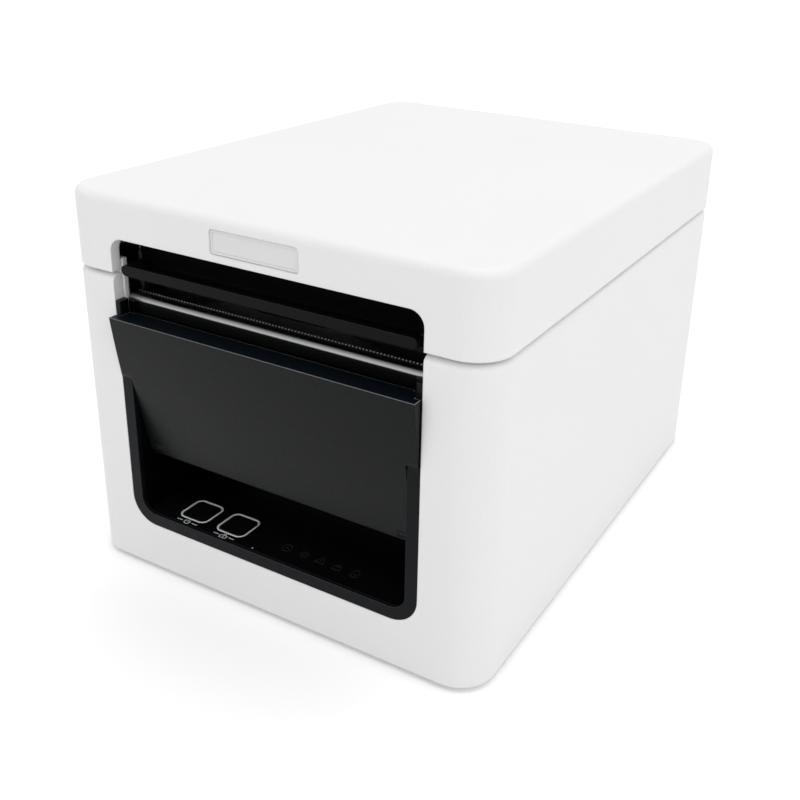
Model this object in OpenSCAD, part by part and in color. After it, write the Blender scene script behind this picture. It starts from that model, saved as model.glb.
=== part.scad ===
// Receipt printer for 80 mm paper rolls, with the paper leaving at the front.
// X runs to the right, the front faces -Y, Z is up, and the feet stand on Z = 0.

/* [Case] */
// Width of the case
body_w = 130; // [128:1:150]
// Depth of the case, front face to back face
body_d = 169; // [166:1:185]
// Height of the case above its feet
body_h = 110.5; // [110:0.5:120]
// Radius of the upright corners
corner_r = 10; // [6:0.5:14]
// Thickness of the outer walls
wall = 3; // [2.4:0.2:3.2]
// Height of the feet under the case
foot_h = 1.5; // [1:0.5:4]
// Height of the lid above the seam
lid_h = 21.8; // [21:0.2:24]
// Open seam between the lid and the case
seam_gap = 1; // [0.6:0.1:1.4]
// Rounding round the top of the lid
lid_edge_r = 2.5; // [1:0.5:3]
// Rounding round the top of the lower case
case_edge_r = 1.8; // [0.8:0.2:2]

/* [Front window] */
// Distance from the edge of the paper to the edge of the window, on each side
window_side = 7.5; // [7.5:0.1:9]
// Height of the window's sill above the bottom of the case
window_sill = 14; // [12:0.5:15]
// Corner radius at the foot of the window
window_r = 8; // [5:0.5:9]
// Height of the cut-out in the lid, above the seam
cutout_h = 10.1; // [9:0.1:11]
// Width of the flat rim round the recess
rim_w = 3.6; // [3:0.1:3.6]
// Depth of the recess that holds the controls
recess_d = 24.5; // [22:0.5:25]

/* [Cutter cover] */
// How far the top of the cutter cover stands out of the front
cover_proud = 3; // [2:0.5:5]
// How far the foot of the cutter cover is set back
cover_setback = 5; // [4:0.5:6]
// Distance from the seam down to the top of the cutter cover
cover_drop = 11.2; // [11:0.2:12]
// Height of the cutter cover
cover_h = 42.7; // [40:0.1:43]
// Depth of the cutter cover's upper lip
cover_lip = 6.5; // [5:0.5:7]

/* [Keys] */
// Side of the square light ring round a key
ring_size = 9.9; // [8:0.1:10]
// Line width of the light ring
ring_line = 0.5; // [0.4:0.1:0.9]
// Distance between the two keys
key_pitch = 13.4; // [12:0.2:16]
// Travel of a key
key_travel = 0.6; // [0.3:0.1:0.8]

/* [Paper] */
// Width of the paper
paper_w = 80; // [78:1:80]
// Largest roll that the bay takes
roll_d = 80; // [70:1:80]

/* [Paper drive] */
// Diameter of the rubber platen
platen_d = 12; // [11:0.5:12.5]
// Diameter of the platen's steel shaft
shaft_d = 6; // [5:0.5:6]
// Module of the gears
gear_m = 0.8; // [0.78:0.01:0.8]
// Teeth on the motor pinion
pinion_teeth = 16; // [15:1:16]
// Teeth on the idler
idler_teeth = 36; // [35:1:37]
// Teeth on the platen gear
platen_teeth = 24; // [23:1:24]
// Face width of the gears
gear_w = 4; // [3:0.5:5]
// Play between meshing teeth
backlash = 0.24; // [0.2:0.02:0.3]

/* [Cutter] */
// Stroke of the moving knife
knife_stroke = 8; // [6:0.5:8]
// Thickness of the moving knife
knife_t = 0.8; // [0.6:0.1:1]

/* [Clearances] */
// Gap between pieces that move past each other
gap = 0.3; // [0.25:0.05:0.4]
// Radial running fit of a shaft in its hole
fit = 0.05; // [0.03:0.01:0.08]
// Slack of a piece that is set into another and stays there
seat = 0.1; // [0.05:0.01:0.15]

/* [Hidden] */
$fn = 64;

cut = 1;                       // how far a cutter runs past a face
white = "#e9e9e8";
black = "#16181a";
gloss = "#050608";
steel = "#b9bcc0";
brass = "#c8a75a";

// Case levels and faces
front_y = cover_proud - (body_d + cover_proud) / 2;
back_y = front_y + body_d;
case_z = foot_h;
top_z = foot_h + body_h;
seam_z = top_z - lid_h;
case_top = seam_z - seam_gap / 2;
lid_z = seam_z + seam_gap / 2;
in_x = body_w / 2 - wall;
in_front = front_y + wall;
in_back = back_y - wall;
in_r = corner_r - wall;
mid_y = (front_y + back_y) / 2;

// Hinge of the lid
knuckle_r = 2.6;
hinge_pin_r = 1.2;
hinge_y = back_y - knuckle_r;
hinge_z = seam_z;
knuckle_w = 10;
lid_barrel_x = body_w / 2 - corner_r - 1;
hinge_pin_l = 26;
knuckle_x = lid_barrel_x - hinge_pin_l / 2;   // middle of a case knuckle and of its pin
hinge_swing_r = knuckle_r + 2;

// Front window and bezel
half_win = paper_w / 2 + window_side;
sill_z = case_z + window_sill;
rim_x = half_win - rim_w;
rim_z = sill_z + rim_w;
bezel_top = seam_z - 7.3;
rim_t = 1;                     // front plate of the rim
rim_r = window_r - rim_w;
recess_back = front_y + recess_d;
bezel_wall = 2;
bezel_flange = 1;              // how far the flange reaches behind the wall beside the window
rail_w = 1.5;                  // thin side of the bezel beside the top of the cutter cover
rail_x = half_win - seat - rail_w;
bar_z = bezel_top - 0.4;       // top of the cross bar, which carries the exit strip and the tear bar
post_x = half_win - 0.6;
post_y = in_front + gap;
post_w = 3.1;
post_d = 1.4;
post_top = seam_z + 3.6;

// Cutter cover
cover_top = seam_z - cover_drop;
cover_z = cover_top - cover_h;
cover_overlap = 6.7;           // how far the ceiling of the recess lies above the cover's foot
recess_top = cover_z + cover_overlap;
cover_front = front_y - cover_proud;
cover_foot = front_y + cover_setback;
cover_t = 2.2;
cover_bulge = 0.7;             // how far the middle of the cover's face stands out of a straight line
cover_chord = norm([cover_foot - cover_front, cover_h]);
cover_face_r = (cover_chord * cover_chord / 4 + cover_bulge * cover_bulge) / (2 * cover_bulge);
cover_lean = atan2(cover_foot - cover_front, cover_h);
cover_face_y = (cover_front + cover_foot) / 2 + (cover_face_r - cover_bulge) * cos(cover_lean);
cover_face_z = (cover_top + cover_z) / 2 + (cover_face_r - cover_bulge) * sin(cover_lean);
cover_x = half_win - gap;
cover_in_x = rim_x - gap;
cover_pin_r = 1.5;
cover_axis_y = cover_foot + 1.6;
cover_axis_z = cover_z + 2.4;

// Controls
panel_t = 1.6;
panel_z = rim_z - 0.2;
panel_front = front_y + rim_t + seat;
key_x = -rim_x + 14.3;
key_y = front_y + 8.6;
key_size = ring_size - 2 * ring_line - 2 * gap;
key_r = 1.6;
board_t = 1.6;
key_board_z = sill_z - 5.5;
switch_h = 2;
key_boss_x = [4.9 - rim_x, rim_x - 12.9];
key_boss_y = [front_y + 5.5, recess_back - 5];
guide_x = 13.6;
guide_w = 26;
guide_y = front_y + 7;

// Print mechanism
paper_z = seam_z - 2.7;
mech_x = paper_w / 2 + 5.2;    // inner faces of the side frames
frame_t = 1.2;
platen_r = platen_d / 2;
shaft_r = shaft_d / 2;
platen_y = front_y + 25;
platen_z = paper_z + platen_r;
platen_l = paper_w + 2;
bush_r = shaft_r + 1;
bracket_x = mech_x + frame_t + 0.6;
bracket_t = 1.6;
gear_x = bracket_x + bracket_t + 1.6;
frame_front = front_y + 8.5;
frame_bottom = recess_top + 0.2;
frame_top = platen_z + 1.5;
frame_back = platen_y + 12;
motor_frame_top = seam_z - 10.2;
side_room = in_x - mech_x - frame_t;
foot_screw_x = in_x - side_room / 2;
foot_x = foot_screw_x + 4;
foot_head_r = 2.8;
foot_head_h = 1.6;
frame_foot_w = 10;
frame_foot_y = [frame_front + 1, frame_back - 14];
screw_bite = 3;                // depth of a screw in what it holds to

// Release bar
bar_t = 3.5;
bar_h = 2.9;
bar_y = front_y + 0.9;
bar_l = 2 * mech_x;
arm_t = 1.7;
arm_x = mech_x - 0.5 - arm_t;
release_y = front_y + 15;
release_z = seam_z - 28.2;
rod_r = 1.5;
arm_w = 3.5;
arm_eye_r = 4;                 // end of the arm round its stud
lug_y = release_y + 16;
lug_z = release_z + 14;
nose_y = platen_y - shaft_r - gap - 0.1;

// Print head
head_y = platen_y - platen_r;
head_d = 14;
head_top = paper_z - gap;
head_t = 1.2;
head_half = paper_w / 2 + 2;
head_rod_y = platen_y + 6;
head_rod_z = paper_z - 8;
spring_r = 2.4;

// Cutter
cutter_front = front_y + 10.8;
plate_t = 1.2;
knife_y = cutter_front + plate_t + 0.4;
rack_t = 3;
back_plate_y = knife_y + knife_t + rack_t + 0.4;
knife_half = paper_w / 2 + 1;
knife_h = 19;
rack_arm_h = 7;                // height of the rack's arm behind the knife
rack_arm_w = 12;
knife_top = paper_z - 2;
cutter_top = paper_z - 3.3;
cutter_r = gear_m * pinion_teeth / 2;
cutter_x = -22.8;
cutter_motor_r = 10.5;
cutter_motor_l = 22;
cutter_nose_r = 3.3;
cutter_cap_r = 4;
cutter_cap_h = 1.5;
cutter_z = recess_top + cutter_motor_r + 2.5;
cross_z = cutter_z + cutter_motor_r + 1.5;     // plate that the head's springs stand on
cross_d = 8;
rack_x = cutter_x + cutter_r + backlash / 2;
rack_w = 5;
rack_teeth = 11;
fixed_knife_y = knife_y + knife_t + gap;

// Drive train: centres of the three gears in the Y-Z plane
motor_r = 17.5;
motor_l = 20;
motor_shaft_r = 1.5;
shaft_in = 13;                 // how far the motor's shaft reaches into it
motor_rim_t = 1;               // flange of the motor against its frame
motor_ear_r = 4.5;
motor_collar_r = 4.9;
motor_head_r = 2;
motor_head_h = 1.2;
motor_ear = 13.5;              // how far the two ears stand back and up, or forward and down
pinion_r = gear_m * pinion_teeth / 2;
idler_r = gear_m * idler_teeth / 2;
platen_gear_r = gear_m * platen_teeth / 2;
train_a = pinion_r + idler_r;
train_b = idler_r + platen_gear_r;
mesh_1 = 150.5;                // direction from the motor to the idler
mesh_2 = 104.2;                // direction from the idler to the platen
idler_y = platen_y - train_b * cos(mesh_2);
idler_z = platen_z - train_b * sin(mesh_2);
motor_y = idler_y - train_a * cos(mesh_1);
motor_z = idler_z - train_a * sin(mesh_1);
motor_frame_back = motor_y + 20;
motor_frame_low = motor_z - motor_ear - motor_ear_r;
pinion_phase = mesh_1;
idler_phase = mesh_1 + 180 + 180 / idler_teeth;
platen_phase = mesh_2 + 180 + 180 / platen_teeth - (idler_phase - mesh_2) * idler_teeth / platen_teeth;
stud_r = 2;

// Deck, roll bay and boards
switch_x = foot_screw_x;       // middle of the cover switch, on the left
switch_w = 5;
switch_d = 7;
switch_drop = 9;
switch_y = frame_front + 6.1;
button_w = 2;
sensor_w = 10.8;
sensor_d = 6.2;
sensor_drop = 6;
sensor_y = frame_back + 5.1;
deck_t = 2;
deck_z = case_top - 4.2;
deck_front = frame_front + 0.5;
deck_back = in_back - 4;
bay_wall = 2;
bay_r = roll_d / 2 + 2;
bay_x = paper_w / 2 + 1.5;
bay_y = motor_y + 22 + bay_r;
bay_z = top_z - 6 - bay_r;
bay_back = min(bay_y + bay_r, deck_back - 4);   // flat where the rear wall leaves no room for the round
plate_z = case_z + 2;
pcb_z = plate_z + 3.5;
pcb_half = in_x - 12;
pcb_front = head_y + head_d + 2.5;
pcb_back = in_back - 0.5;
carrier_z = platen_z + 8;
carrier_t = 2;
skirt_x = arm_x - 0.5;         // half width of the lip that hangs in front of the knife
skirt_lift = 1.5;              // height of that lip above the paper
carrier_front = front_y + 8;
carrier_back = platen_y + 12;
carrier_screw_y = [carrier_front + 4.6, carrier_back - 3.4];
socket_back = back_y - 0.5;
screw_r = 1.5;

// ---------------------------------------------------------------- helpers

// Box between two opposite corners.
module block(p, q) {
    translate(p) cube(q - p);
}

// Draws its child on the right and mirrored on the left.
module both_sides() {
    children();
    mirror([1, 0, 0]) children();
}

// Draws an outline given in Y and Z as a plate between two X values.
module along_x(x0, x1) {
    translate([x0, 0, 0]) rotate([90, 0, 90]) linear_extrude(x1 - x0) children();
}

// Draws an outline given in X and Z as a plate between two Y values.
module along_y(y0, y1) {
    translate([0, y1, 0]) rotate([90, 0, 0]) linear_extrude(y1 - y0) children();
}

// Round bar along X.
module rod_x(x0, x1, y, z, r) {
    translate([x0, y, z]) rotate([0, 90, 0]) cylinder(h = x1 - x0, r = r);
}

// Round bar along Y.
module rod_y(x, y0, y1, z, r) {
    translate([x, y1, z]) rotate([90, 0, 0]) cylinder(h = y1 - y0, r = r);
}

// Rectangle about the origin with four rounded corners.
module round_rect(w, d, r) {
    square([w - 2 * r, d], center = true);
    square([w, d - 2 * r], center = true);
    for (x = [-1, 1], y = [-1, 1])
        translate([x * (w / 2 - r), y * (d / 2 - r)]) circle(r);
}

// Slab with rounded upright corners and a rounded top edge.
module soft_slab(w, d, h, r, e) {
    linear_extrude(h - e) round_rect(w, d, r);
    translate([0, 0, h - e]) {
        linear_extrude(e) round_rect(w - 2 * e, d - 2 * e, r - e);
        for (s = [-1, 1]) {
            translate([0, s * (d / 2 - e), 0]) along_x(r - w / 2, w / 2 - r) edge_quarter(s, e);
            translate([s * (w / 2 - e), 0, 0]) along_y(r - d / 2, d / 2 - r) edge_quarter(s, e);
        }
        for (a = [0, 90, 180, 270]) {
            x = (a == 0 || a == 270 ? 1 : -1) * (w / 2 - r);
            y = (a < 180 ? 1 : -1) * (d / 2 - r);
            translate([x, y, 0]) rotate([0, 0, a]) rotate_extrude(angle = 90)
                translate([r - e, 0]) edge_quarter(1, e);
        }
    }
}

// Quarter disc that rounds an edge, on the side s.
module edge_quarter(s, e) {
    intersection() {
        circle(e);
        translate([s > 0 ? 0 : -e, 0]) square(e);
    }
}

// Involute of a pressure angle, in degrees.
function inv(a) = tan(a) * 180 / PI - a;

// Half the angle of a tooth at radius r.
function tooth_half(teeth, r) =
    let (rp = gear_m * teeth / 2, rb = rp * cos(20))
    90 / teeth - backlash / 4 / rp * 180 / PI + inv(20) - inv(acos(min(1, rb / r)));

// Outline of a spur gear with a tooth at the angle phase.
module gear_2d(teeth, phase) {
    rp = gear_m * teeth / 2;
    tip = rp + 0.9 * gear_m;
    root = rp - 1.2 * gear_m;
    start = max(rp * cos(20), root + 0.02);
    flank = [for (i = [0:5]) start + (tip - start) * i / 5];
    polygon([for (t = [0:teeth - 1]) let (c = phase + 360 * t / teeth)
        each concat(
            [root * [cos(c - tooth_half(teeth, start)), sin(c - tooth_half(teeth, start))]],
            [for (r = flank) r * [cos(c - tooth_half(teeth, r)), sin(c - tooth_half(teeth, r))]],
            [for (i = [5:-1:0]) let (r = flank[i])
                r * [cos(c + tooth_half(teeth, r)), sin(c + tooth_half(teeth, r))]],
            [root * [cos(c + tooth_half(teeth, start)), sin(c + tooth_half(teeth, start))]]
        )
    ]);
}

// ---------------------------------------------------------------- case

// Outline of the front window in X and Z.
module window_2d(half, low, high, r) {
    translate([0, low + r]) {
        translate([-half, 0]) square([2 * half, high - low - r]);
        translate([r - half, -r]) square([2 * (half - r), r + 0.01]);
        for (s = [-1, 1]) translate([s * (half - r), 0]) circle(r);
    }
}

// Outline of the cut-out in the lid, rounded at its top.
module cutout_2d() {
    mirror([0, 1]) window_2d(half_win, -seam_z - cutout_h, -lid_z + cut, 4);
}

module lower_case() {
    color(white) {
        difference() {
            union() {
                difference() {
                    translate([0, mid_y, case_z])
                        soft_slab(body_w, body_d, case_top - case_z, corner_r, case_edge_r);
                    translate([0, mid_y, case_z - cut])
                        linear_extrude(body_h)
                            round_rect(body_w - 2 * wall, body_d - 2 * wall, in_r);
                }
                case_ledges();
                case_bosses();
            }
            along_y(front_y - cut, in_front + 0.01) window_2d(half_win, sill_z, case_top + cut, window_r);
            rod_x(-body_w, body_w, hinge_y, hinge_z, hinge_swing_r);
            socket_holes();
        }
        both_sides() case_post();
        both_sides() case_knuckle();
    }
}

// Ledges that carry the deck and the feet of the side frames.
module case_ledges() {
    both_sides() {
        difference() {
            block([in_x - 2.5, deck_front, deck_z - 2], [in_x + 0.5, deck_back - 8, deck_z]);
            translate([0, 0, deck_z - 3]) linear_extrude(4) gear_room_2d();
        }
        for (y = frame_foot_y) difference() {
            block([foot_screw_x - 4, y, frame_bottom - 4], [in_x + 0.5, y + frame_foot_w, frame_bottom]);
            translate([foot_screw_x, y + frame_foot_w / 2, frame_bottom - screw_bite - 0.2])
                cylinder(h = body_h, r = screw_r + fit);
        }
    }
}

// Corner bosses that take the screws of the base plate.
module case_bosses() {
    for (x = [-1, 1], y = [in_front + 7, in_back - 7])
        translate([x * (in_x - 5), y, plate_z]) difference() {
            union() {
                cylinder(h = 11, r = 4);
                translate([x > 0 ? 0 : -5.5, -2, 0]) cube([5.5, 4, 11]);
            }
            translate([0, 0, -cut]) cylinder(h = 9 + cut, r = screw_r + fit);
        }
}

// Post beside the paper exit that rises into the lid's cut-out.
module case_post() {
    block([post_x, post_y, bezel_top - 7], [post_x + post_w, post_y + post_d, post_top]);
    block([half_win + 0.4, in_front - 0.5, bezel_top - 7],
          [post_x + post_w, post_y + 0.5, case_top - case_edge_r]);
}

// Hinge knuckle on the back wall of the case.
module case_knuckle() {
    x0 = knuckle_x - knuckle_w / 2;
    difference() {
        union() {
            rod_x(x0, x0 + knuckle_w, hinge_y, hinge_z, knuckle_r);
            block([x0, hinge_y - knuckle_r, hinge_z - 6], [x0 + knuckle_w, back_y, hinge_z]);
        }
        rod_x(x0 - cut, x0 + knuckle_w + cut, hinge_y, hinge_z, hinge_pin_r + fit);
    }
}

// Openings in the back wall, one for each socket: [x, width, height].
sockets = [[9 - pcb_half, 14, 14], [-16, 16, 13.6], [10, 13.4, 11.6], [pcb_half - 17, 12, 11]];
socket_z = pcb_z + board_t;

module socket_holes() {
    for (s = sockets)
        block([s[0] - s[1] / 2 - gap, in_back - 2, socket_z - gap],
              [s[0] + s[1] / 2 + gap, back_y + cut, socket_z + s[2] + gap]);
}

module lid() {
    color(white) difference() {
        union() {
            difference() {
                translate([0, mid_y, lid_z])
                    soft_slab(body_w, body_d, top_z - lid_z, corner_r, lid_edge_r);
                translate([0, mid_y, lid_z - cut])
                    linear_extrude(top_z - wall - lid_z + cut)
                        round_rect(body_w - 2 * wall, body_d - 2 * wall, in_r);
            }
            rod_x(-lid_barrel_x, lid_barrel_x, hinge_y, hinge_z, knuckle_r);
            lid_ribs();
            carrier_posts();
        }
        along_y(front_y - cut, in_front + 0.01) cutout_2d();
        along_y(front_y - cut, front_y + 0.5) plate_2d(seat);
        both_sides() knuckle_notch();
        rod_x(-lid_barrel_x - cut, lid_barrel_x + cut, hinge_y, hinge_z, hinge_pin_r + fit);
    }
}

// Room in the lid for a knuckle of the case.
module knuckle_notch() {
    x0 = knuckle_x - knuckle_w / 2 - gap;
    x1 = x0 + knuckle_w + 2 * gap;
    block([x0, hinge_y - knuckle_r - 0.6, hinge_z - knuckle_r - cut],
          [x1, back_y + cut, hinge_z + knuckle_r + 0.8]);
}

// Stiffening ribs under the top of the lid, and the tab that presses the cover switch.
module lid_ribs() {
    for (x = [-30, 0, 30])
        block([x - 0.8, carrier_back + 6, top_z - wall - 1.6], [x + 0.8, in_back + 0.5, top_z - wall + 0.5]);
    block([-switch_x - button_w / 2, switch_y + 2.7, seam_z + 0.4],
          [-switch_x + button_w / 2, switch_y + 4.3, top_z - wall + 0.5]);
}

carrier_post_x = mech_x - 0.6;

// Posts that the platen carrier is screwed to.
module carrier_posts() {
    for (x = [-1, 1], y = carrier_screw_y)
        translate([x * carrier_post_x, y, carrier_z + carrier_t]) difference() {
            cylinder(h = top_z - wall + 0.5 - carrier_z - carrier_t, r = 3.4);
            translate([0, 0, -cut]) cylinder(h = 4.5 + cut, r = screw_r + fit);
        }
}

plate_w = 26.5;
plate_h = 6.2;
plate_mid = seam_z + 15.2;

// Outline of the name plate in X and Z.
module plate_2d(more) {
    translate([0, plate_mid]) round_rect(plate_w + 2 * more, plate_h + 2 * more, 0.8 + more);
}

module name_plate() {
    color(white) along_y(front_y + 0.2, front_y + 0.5) plate_2d(0);
}

// ---------------------------------------------------------------- front

module front_bezel() {
    color(black) difference() {
        union() {
            along_y(front_y, front_y + rim_t) difference() {
                window_2d(half_win - seat, sill_z + seat, bezel_top, window_r - seat);
                window_2d(rim_x, rim_z, bezel_top + cut, rim_r);
            }
            both_sides() bezel_side();
            block([-rim_x - bezel_wall, front_y + rim_t - 0.01, sill_z + seat],
                  [rim_x + bezel_wall, recess_back, panel_z - panel_t]);
            block([-rim_x - bezel_wall, recess_back, sill_z - 1], [rim_x + bezel_wall, recess_back + bezel_wall, recess_top]);
            block([-rim_x - bezel_wall, cutter_front + 2, recess_top - bezel_wall],
                  [rim_x + bezel_wall, recess_back + bezel_wall, recess_top]);
            block([-post_x + 0.2, front_y + 3.9, cover_top + gap], [post_x - 0.2, front_y + 7.5, bar_z]);
            for (x = key_boss_x, y = key_boss_y)
                translate([x, y, key_board_z + board_t])
                    cylinder(h = panel_z - panel_t - key_board_z - board_t, r = 2);
        }
        along_y(front_y - cut, in_front) difference() {
            translate([-body_w / 2, 0]) square([body_w, body_h]);
            window_2d(half_win - seat, sill_z + seat, 2 * body_h, window_r - seat);
        }
        for (k = [0, 1]) translate([key_x + k * key_pitch, key_y, sill_z - cut])
            linear_extrude(panel_z) round_rect(key_size - 1.2 + 2 * gap, key_size - 1.2 + 2 * gap, 1.2);
        block([guide_x - guide_w / 2 - seat, guide_y - 2 - seat, sill_z - cut],
              [guide_x + guide_w / 2 + seat, guide_y + 2 + seat, panel_z]);
        both_sides() {
            rod_x(cover_in_x - cut, rim_x + bezel_wall + cut, cover_axis_y, cover_axis_z, cover_pin_r + fit);
            block([rim_x - cut, front_y - cut, cover_top - cover_t - gap], [rail_x, in_front + 0.2, bezel_top + cut]);
        }
    }
}

// Side of the bezel: rail beside the cover, cheek of the recess and flange behind the wall.
module bezel_side() {
    block([rim_x, front_y + rim_t - 0.01, sill_z + window_r], [half_win - seat, in_front, bezel_top]);
    block([rim_x, front_y + rim_t - 0.01, sill_z + seat], [rim_x + bezel_wall, recess_back, recess_top]);
    block([rim_x, in_front - 0.2, bezel_top - 16], [rim_x + bezel_wall, frame_front - 0.2, bar_z]);
    block([rim_x, in_front, sill_z + window_r], [half_win + bezel_flange, in_front + 1.4, bezel_top - 7.4]);
}

// Disc in Y and Z whose edge is the gently curved face of the cutter cover, moved inwards by depth.
module cover_disc(depth) {
    translate([cover_face_y, cover_face_z]) circle(cover_face_r - depth, $fn = 720);
}

// Side view of the cutter cover in Y and Z: its curved face and the lip along its top.
module cover_profile(lip_back) {
    intersection() {
        difference() {
            cover_disc(0);
            cover_disc(cover_t);
        }
        translate([cover_front, cover_z]) square([cover_proud + cover_setback + cover_t, cover_h]);
    }
    cover_lip_2d(lip_back);
}

// Side view of the lip along the top of the cutter cover.
module cover_lip_2d(lip_back) {
    translate([cover_front, cover_top - cover_t]) intersection() {
        square([lip_back - cover_front, cover_t]);
        translate([-cover_front, cover_t - cover_top]) cover_disc(0);
    }
}

// Side view of the part of the cutter cover that stands out of the front.
module cover_wedge_2d(depth, back, high) {
    intersection() {
        cover_disc(depth);
        translate([cover_front, cover_z]) square([back - cover_front, high - cover_z]);
    }
}

// Front view of the part of the cutter cover that goes into the bezel.
module cover_front_2d() {
    window_2d(cover_in_x, cover_z, cover_top + cut, 2);
}

module cutter_cover() {
    color(black) difference() {
        union() {
            intersection() {
                along_x(-cover_in_x, cover_in_x) cover_profile(cover_front + cover_lip);
                along_y(cover_front - cut, back_y) cover_front_2d();
            }
            along_x(-cover_x, cover_x) cover_wedge_2d(0, front_y - gap, cover_top);
            along_x(gap - rail_x, rail_x - gap) cover_lip_2d(in_front - 0.1);
            both_sides() cover_ear();
        }
        both_sides()
            rod_x(cover_in_x - 6, cover_in_x + cut, cover_axis_y, cover_axis_z, cover_pin_r + seat / 2);
        along_x(-cover_in_x + 4, cover_in_x - 4) cover_wedge_2d(cover_t, front_y + cut, cover_top - cover_t);
    }
}

// Ear that takes a hinge pin, and the cheek above it.
module cover_ear() {
    along_x(cover_in_x - 5, cover_in_x) union() {
        translate([cover_axis_y, cover_axis_z]) circle(2.4);
        translate([cover_axis_y - 1.2, cover_axis_z]) square([3, 8]);
    }
}

module cutter_cover_pins() {
    color(steel) both_sides()
        rod_x(cover_in_x - 4, rim_x + bezel_wall, cover_axis_y, cover_axis_z, cover_pin_r);
}

// Outline of a key's ring or cap, about the origin.
module key_2d(size, r) {
    round_rect(size, size, r);
}

// Draws its child at both keys.
module at_keys() {
    for (k = [0, 1]) translate([key_x + k * key_pitch, key_y, 0]) children();
}

module control_panel() {
    more = 2 * seat;
    color(gloss) difference() {
        intersection() {
            block([-rim_x + seat, panel_front, panel_z - panel_t], [rim_x - seat, recess_back, panel_z]);
            along_y(front_y, recess_back + cut)
                window_2d(half_win - more, sill_z + more, 2 * body_h, window_r - more);
        }
        at_keys() translate([0, 0, panel_z - panel_t - cut])
            linear_extrude(panel_t + 2 * cut) key_2d(ring_size + 2 * seat, key_r + 0.8);
    }
}

module key_light_rings() {
    color("#f2f4f4") at_keys() translate([0, 0, panel_z - panel_t])
        linear_extrude(panel_t + 0.05) difference() {
            key_2d(ring_size, key_r + 0.7);
            key_2d(ring_size - 2 * ring_line, key_r);
        }
}

// Key cap with its stem, before it is placed.
module key_cap() {
    color(gloss) {
        translate([0, 0, panel_z - panel_t + key_travel + 0.1])
            linear_extrude(panel_t - key_travel - 0.1) key_2d(key_size, key_r - gap / 2);
        translate([0, 0, key_board_z + board_t + switch_h + key_travel + 0.2])
            linear_extrude(panel_z - key_board_z - board_t - switch_h - key_travel - 0.4)
                round_rect(key_size - 1.2, key_size - 1.2, 1);
    }
}

module power_key() {
    translate([key_x, key_y, 0]) key_cap();
}

module feed_key() {
    translate([key_x + key_pitch, key_y, 0]) key_cap();
}

module key_board() {
    color("#1f5b3a") difference() {
        block([-rim_x + 2, front_y + 3.4, key_board_z], [rim_x - 2, recess_back - 2, key_board_z + board_t]);
        for (x = key_boss_x, y = key_boss_y)
            translate([x, y, key_board_z - cut]) cylinder(h = board_t + 2 * cut, r = 1);
    }
}

module key_switches() {
    color("#30343a") at_keys() translate([0, 0, key_board_z + board_t]) {
        translate([-3, -3, 0]) cube([6, 6, switch_h - 0.6]);
        cylinder(h = switch_h, r = 1.7);
    }
}

module icon_light_guide() {
    color("#dfe5e6") {
        block([guide_x - guide_w / 2, guide_y - 2, key_board_z + board_t],
              [guide_x + guide_w / 2, guide_y + 2, panel_z - panel_t]);
    }
}

strip_r = 1.6;
strip_y = front_y + 4;

module exit_strip() {
    color(steel) along_x(0.5 - post_x, post_x - 0.5) {
        translate([strip_y + strip_r, bar_z]) intersection() {
            circle(strip_r);
            translate([-strip_r, 0]) square(strip_r);
        }
        translate([strip_y + strip_r, bar_z]) square([0.4, strip_r]);
    }
}

tear_pitch = 1;
tear_tooth = 0.5;              // height of a tooth of the tear bar
tear_t = 0.6;
tear_top = paper_z - 2.7;

module tear_bar() {
    count = floor(2 * mech_x / tear_pitch);
    edge = count * tear_pitch / 2;
    color(steel) along_y(strip_y + strip_r + 0.4, strip_y + strip_r + 0.4 + tear_t) polygon(concat(
        [[edge, bar_z], [-edge, bar_z]],
        [for (i = [0:count - 1]) each [
            [i * tear_pitch - edge, tear_top - tear_tooth],
            [(i + 0.5) * tear_pitch - edge, tear_top]
        ]],
        [[edge, tear_top - tear_tooth]]
    ));
}

// ---------------------------------------------------------------- release bar

// Side view of one arm of the release bar in Y and Z.
module arm_2d() {
    translate([release_y, release_z]) circle(arm_eye_r);
    translate([release_y - arm_w / 2, release_z]) square([arm_w, seam_z + bar_h - release_z]);
    translate([bar_y + bar_t - 0.5, seam_z]) square([release_y - bar_y - bar_t + arm_w / 2, bar_h]);
    polygon([
        [release_y, seam_z],
        [nose_y - 1, seam_z],
        [nose_y, seam_z + 1],
        [nose_y, platen_z + 1.4],
        [nose_y - 1.8, platen_z + 4],
        [release_y + arm_w / 2, platen_z + 4],
        [release_y, seam_z + bar_h]
    ]);
}

module release_bar() {
    r = bar_h / 2;
    color(black) difference() {
        union() {
            along_y(bar_y, bar_y + bar_t) translate([0, seam_z + r]) {
                square([bar_l - 2 * r, bar_h], center = true);
                for (s = [-1, 1]) translate([s * (bar_l / 2 - r), 0]) circle(r);
            }
            both_sides() along_x(arm_x, arm_x + arm_t) arm_2d();
        }
        rod_x(-mech_x, mech_x, release_y, release_z, rod_r + fit);
    }
}

module release_studs() {
    color(steel) both_sides() rod_x(arm_x, mech_x + frame_t, release_y, release_z, rod_r);
}

// Springs that pull the arms back, each hooked to a lug of its side frame.
module release_springs() {
    color(steel) both_sides() difference() {
        rod_y(arm_x + arm_t / 2, release_y + arm_w / 2 + gap, lug_y, lug_z, 1.2);
        rod_y(arm_x + arm_t / 2, release_y, lug_y + cut, lug_z, 0.7);
    }
}

// ---------------------------------------------------------------- side frames

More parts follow.
